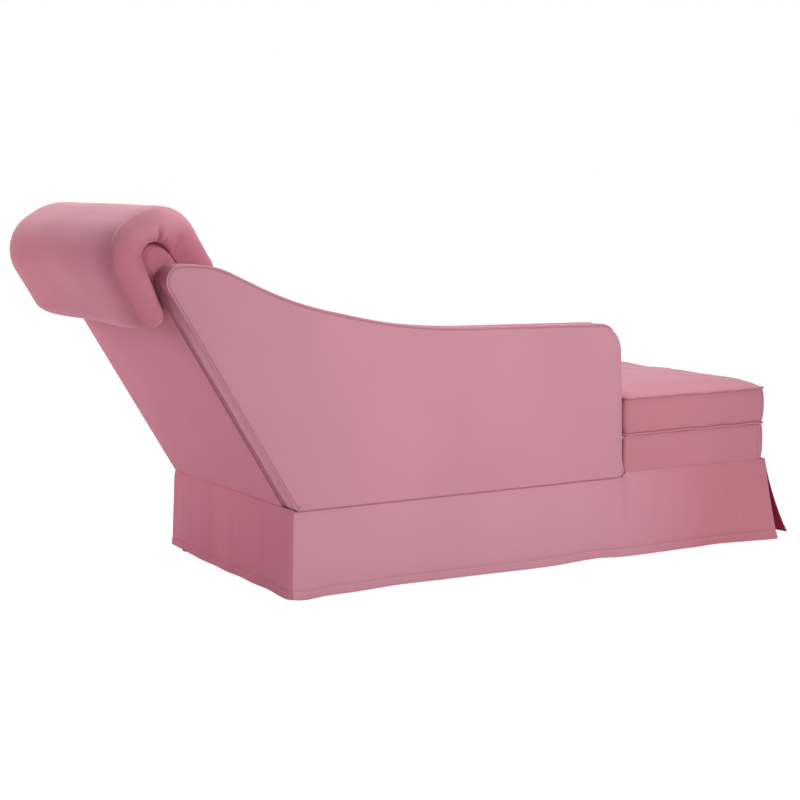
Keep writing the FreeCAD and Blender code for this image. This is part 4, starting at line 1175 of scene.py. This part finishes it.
# Floor, backdrop, lights and camera
def sees_background(tree):
    """1 for camera, mirror and see-through rays, so that shiny parts show the pale background too."""
    path = add_node(tree, "LightPath").outputs
    share = path["Is Camera Ray"]
    for kind in ("Is Glossy Ray", "Is Transmission Ray"):
        share = add_node(tree, "Math", {0: share, 1: path[kind]}, operation="MAXIMUM").outputs[0]
    return share


def grey(value):
    return (value, value, value, 1.0)


def make_stage():
    material, tree, shader = node_material("pale_floor")
    tree.nodes.remove(shader)
    bounce = add_node(tree, "BsdfDiffuse", {"Color": grey(0.9)}).outputs["BSDF"]
    shade = add_node(tree, "BsdfDiffuse", {"Color": grey(0.3)}).outputs["BSDF"]
    glow = add_node(tree, "Emission", {"Color": grey(0.96)}).outputs["Emission"]
    seen = add_node(tree, "AddShader", {0: shade, 1: glow}).outputs["Shader"]
    mix = add_node(tree, "MixShader", {"Fac": sees_background(tree), 1: bounce, 2: seen})
    tree.links.new(mix.outputs["Shader"], tree.nodes["Material Output"].inputs["Surface"])
    reach = 14.0
    mesh = bpy.data.meshes.new("floor")
    corners = [(-reach, -reach, 0), (reach, -reach, 0), (reach, reach, 0), (-reach, reach, 0)]
    mesh.from_pydata(corners, [], [(0, 1, 2, 3)])
    mesh.materials.append(material)
    add_object("floor", mesh)


def aim(thing, place, forward):
    thing.location = place
    thing.rotation_euler = forward.to_track_quat("-Z", "Y").to_euler()


def area_light(name, place, target, size, power):
    data = bpy.data.lights.new(name, "AREA")
    data.shape = "DISK"
    data.size = size
    data.energy = power
    aim(add_object(name, data), Vector(place), Vector(target) - Vector(place))


def make_world():
    world = bpy.data.worlds.new("studio")
    world.use_nodes = True
    bpy.context.scene.world = world
    tree = world.node_tree
    tree.nodes.clear()
    seen = add_node(tree, "Background", {"Color": grey(1.0)}).outputs["Background"]
    soft = add_node(tree, "Background", {"Color": grey(1.0), "Strength": 0.2}).outputs["Background"]
    mix = add_node(tree, "MixShader", {"Fac": sees_background(tree), 1: soft, 2: seen})
    add_node(tree, "OutputWorld", {"Surface": mix.outputs["Shader"]})


def make_camera():
    place = Vector((-1.774, -3.4087, 0.9252)) + Vector(shift)
    pitch = 0.1238
    yaw = 0.5395
    focal_pixels = 1788.35
    picture = 800.0
    data = bpy.data.cameras.new("camera")
    data.sensor_fit = "HORIZONTAL"
    data.sensor_width = 36.0
    data.lens = focal_pixels / picture * data.sensor_width
    camera = add_object("camera", data)
    forward = Vector((math.sin(yaw) * math.cos(pitch), math.cos(yaw) * math.cos(pitch), -math.sin(pitch)))
    aim(camera, place, forward)
    bpy.context.scene.camera = camera


make_stage()
make_world()
area_light("key", (0.05, -2.35, 1.35), (0.0, -0.2, 0.3), 1.1, 29.0)
area_light("top", (0.3, 0.2, 2.9), (0.0, 0.0, 0.4), 2.2, 52.0)
area_light("fill", (-2.75, 1.35, 1.1), (-0.5, 0.0, 0.4), 1.6, 33.0)
make_camera()
bpy.context.scene.view_settings.view_transform = "Standard"
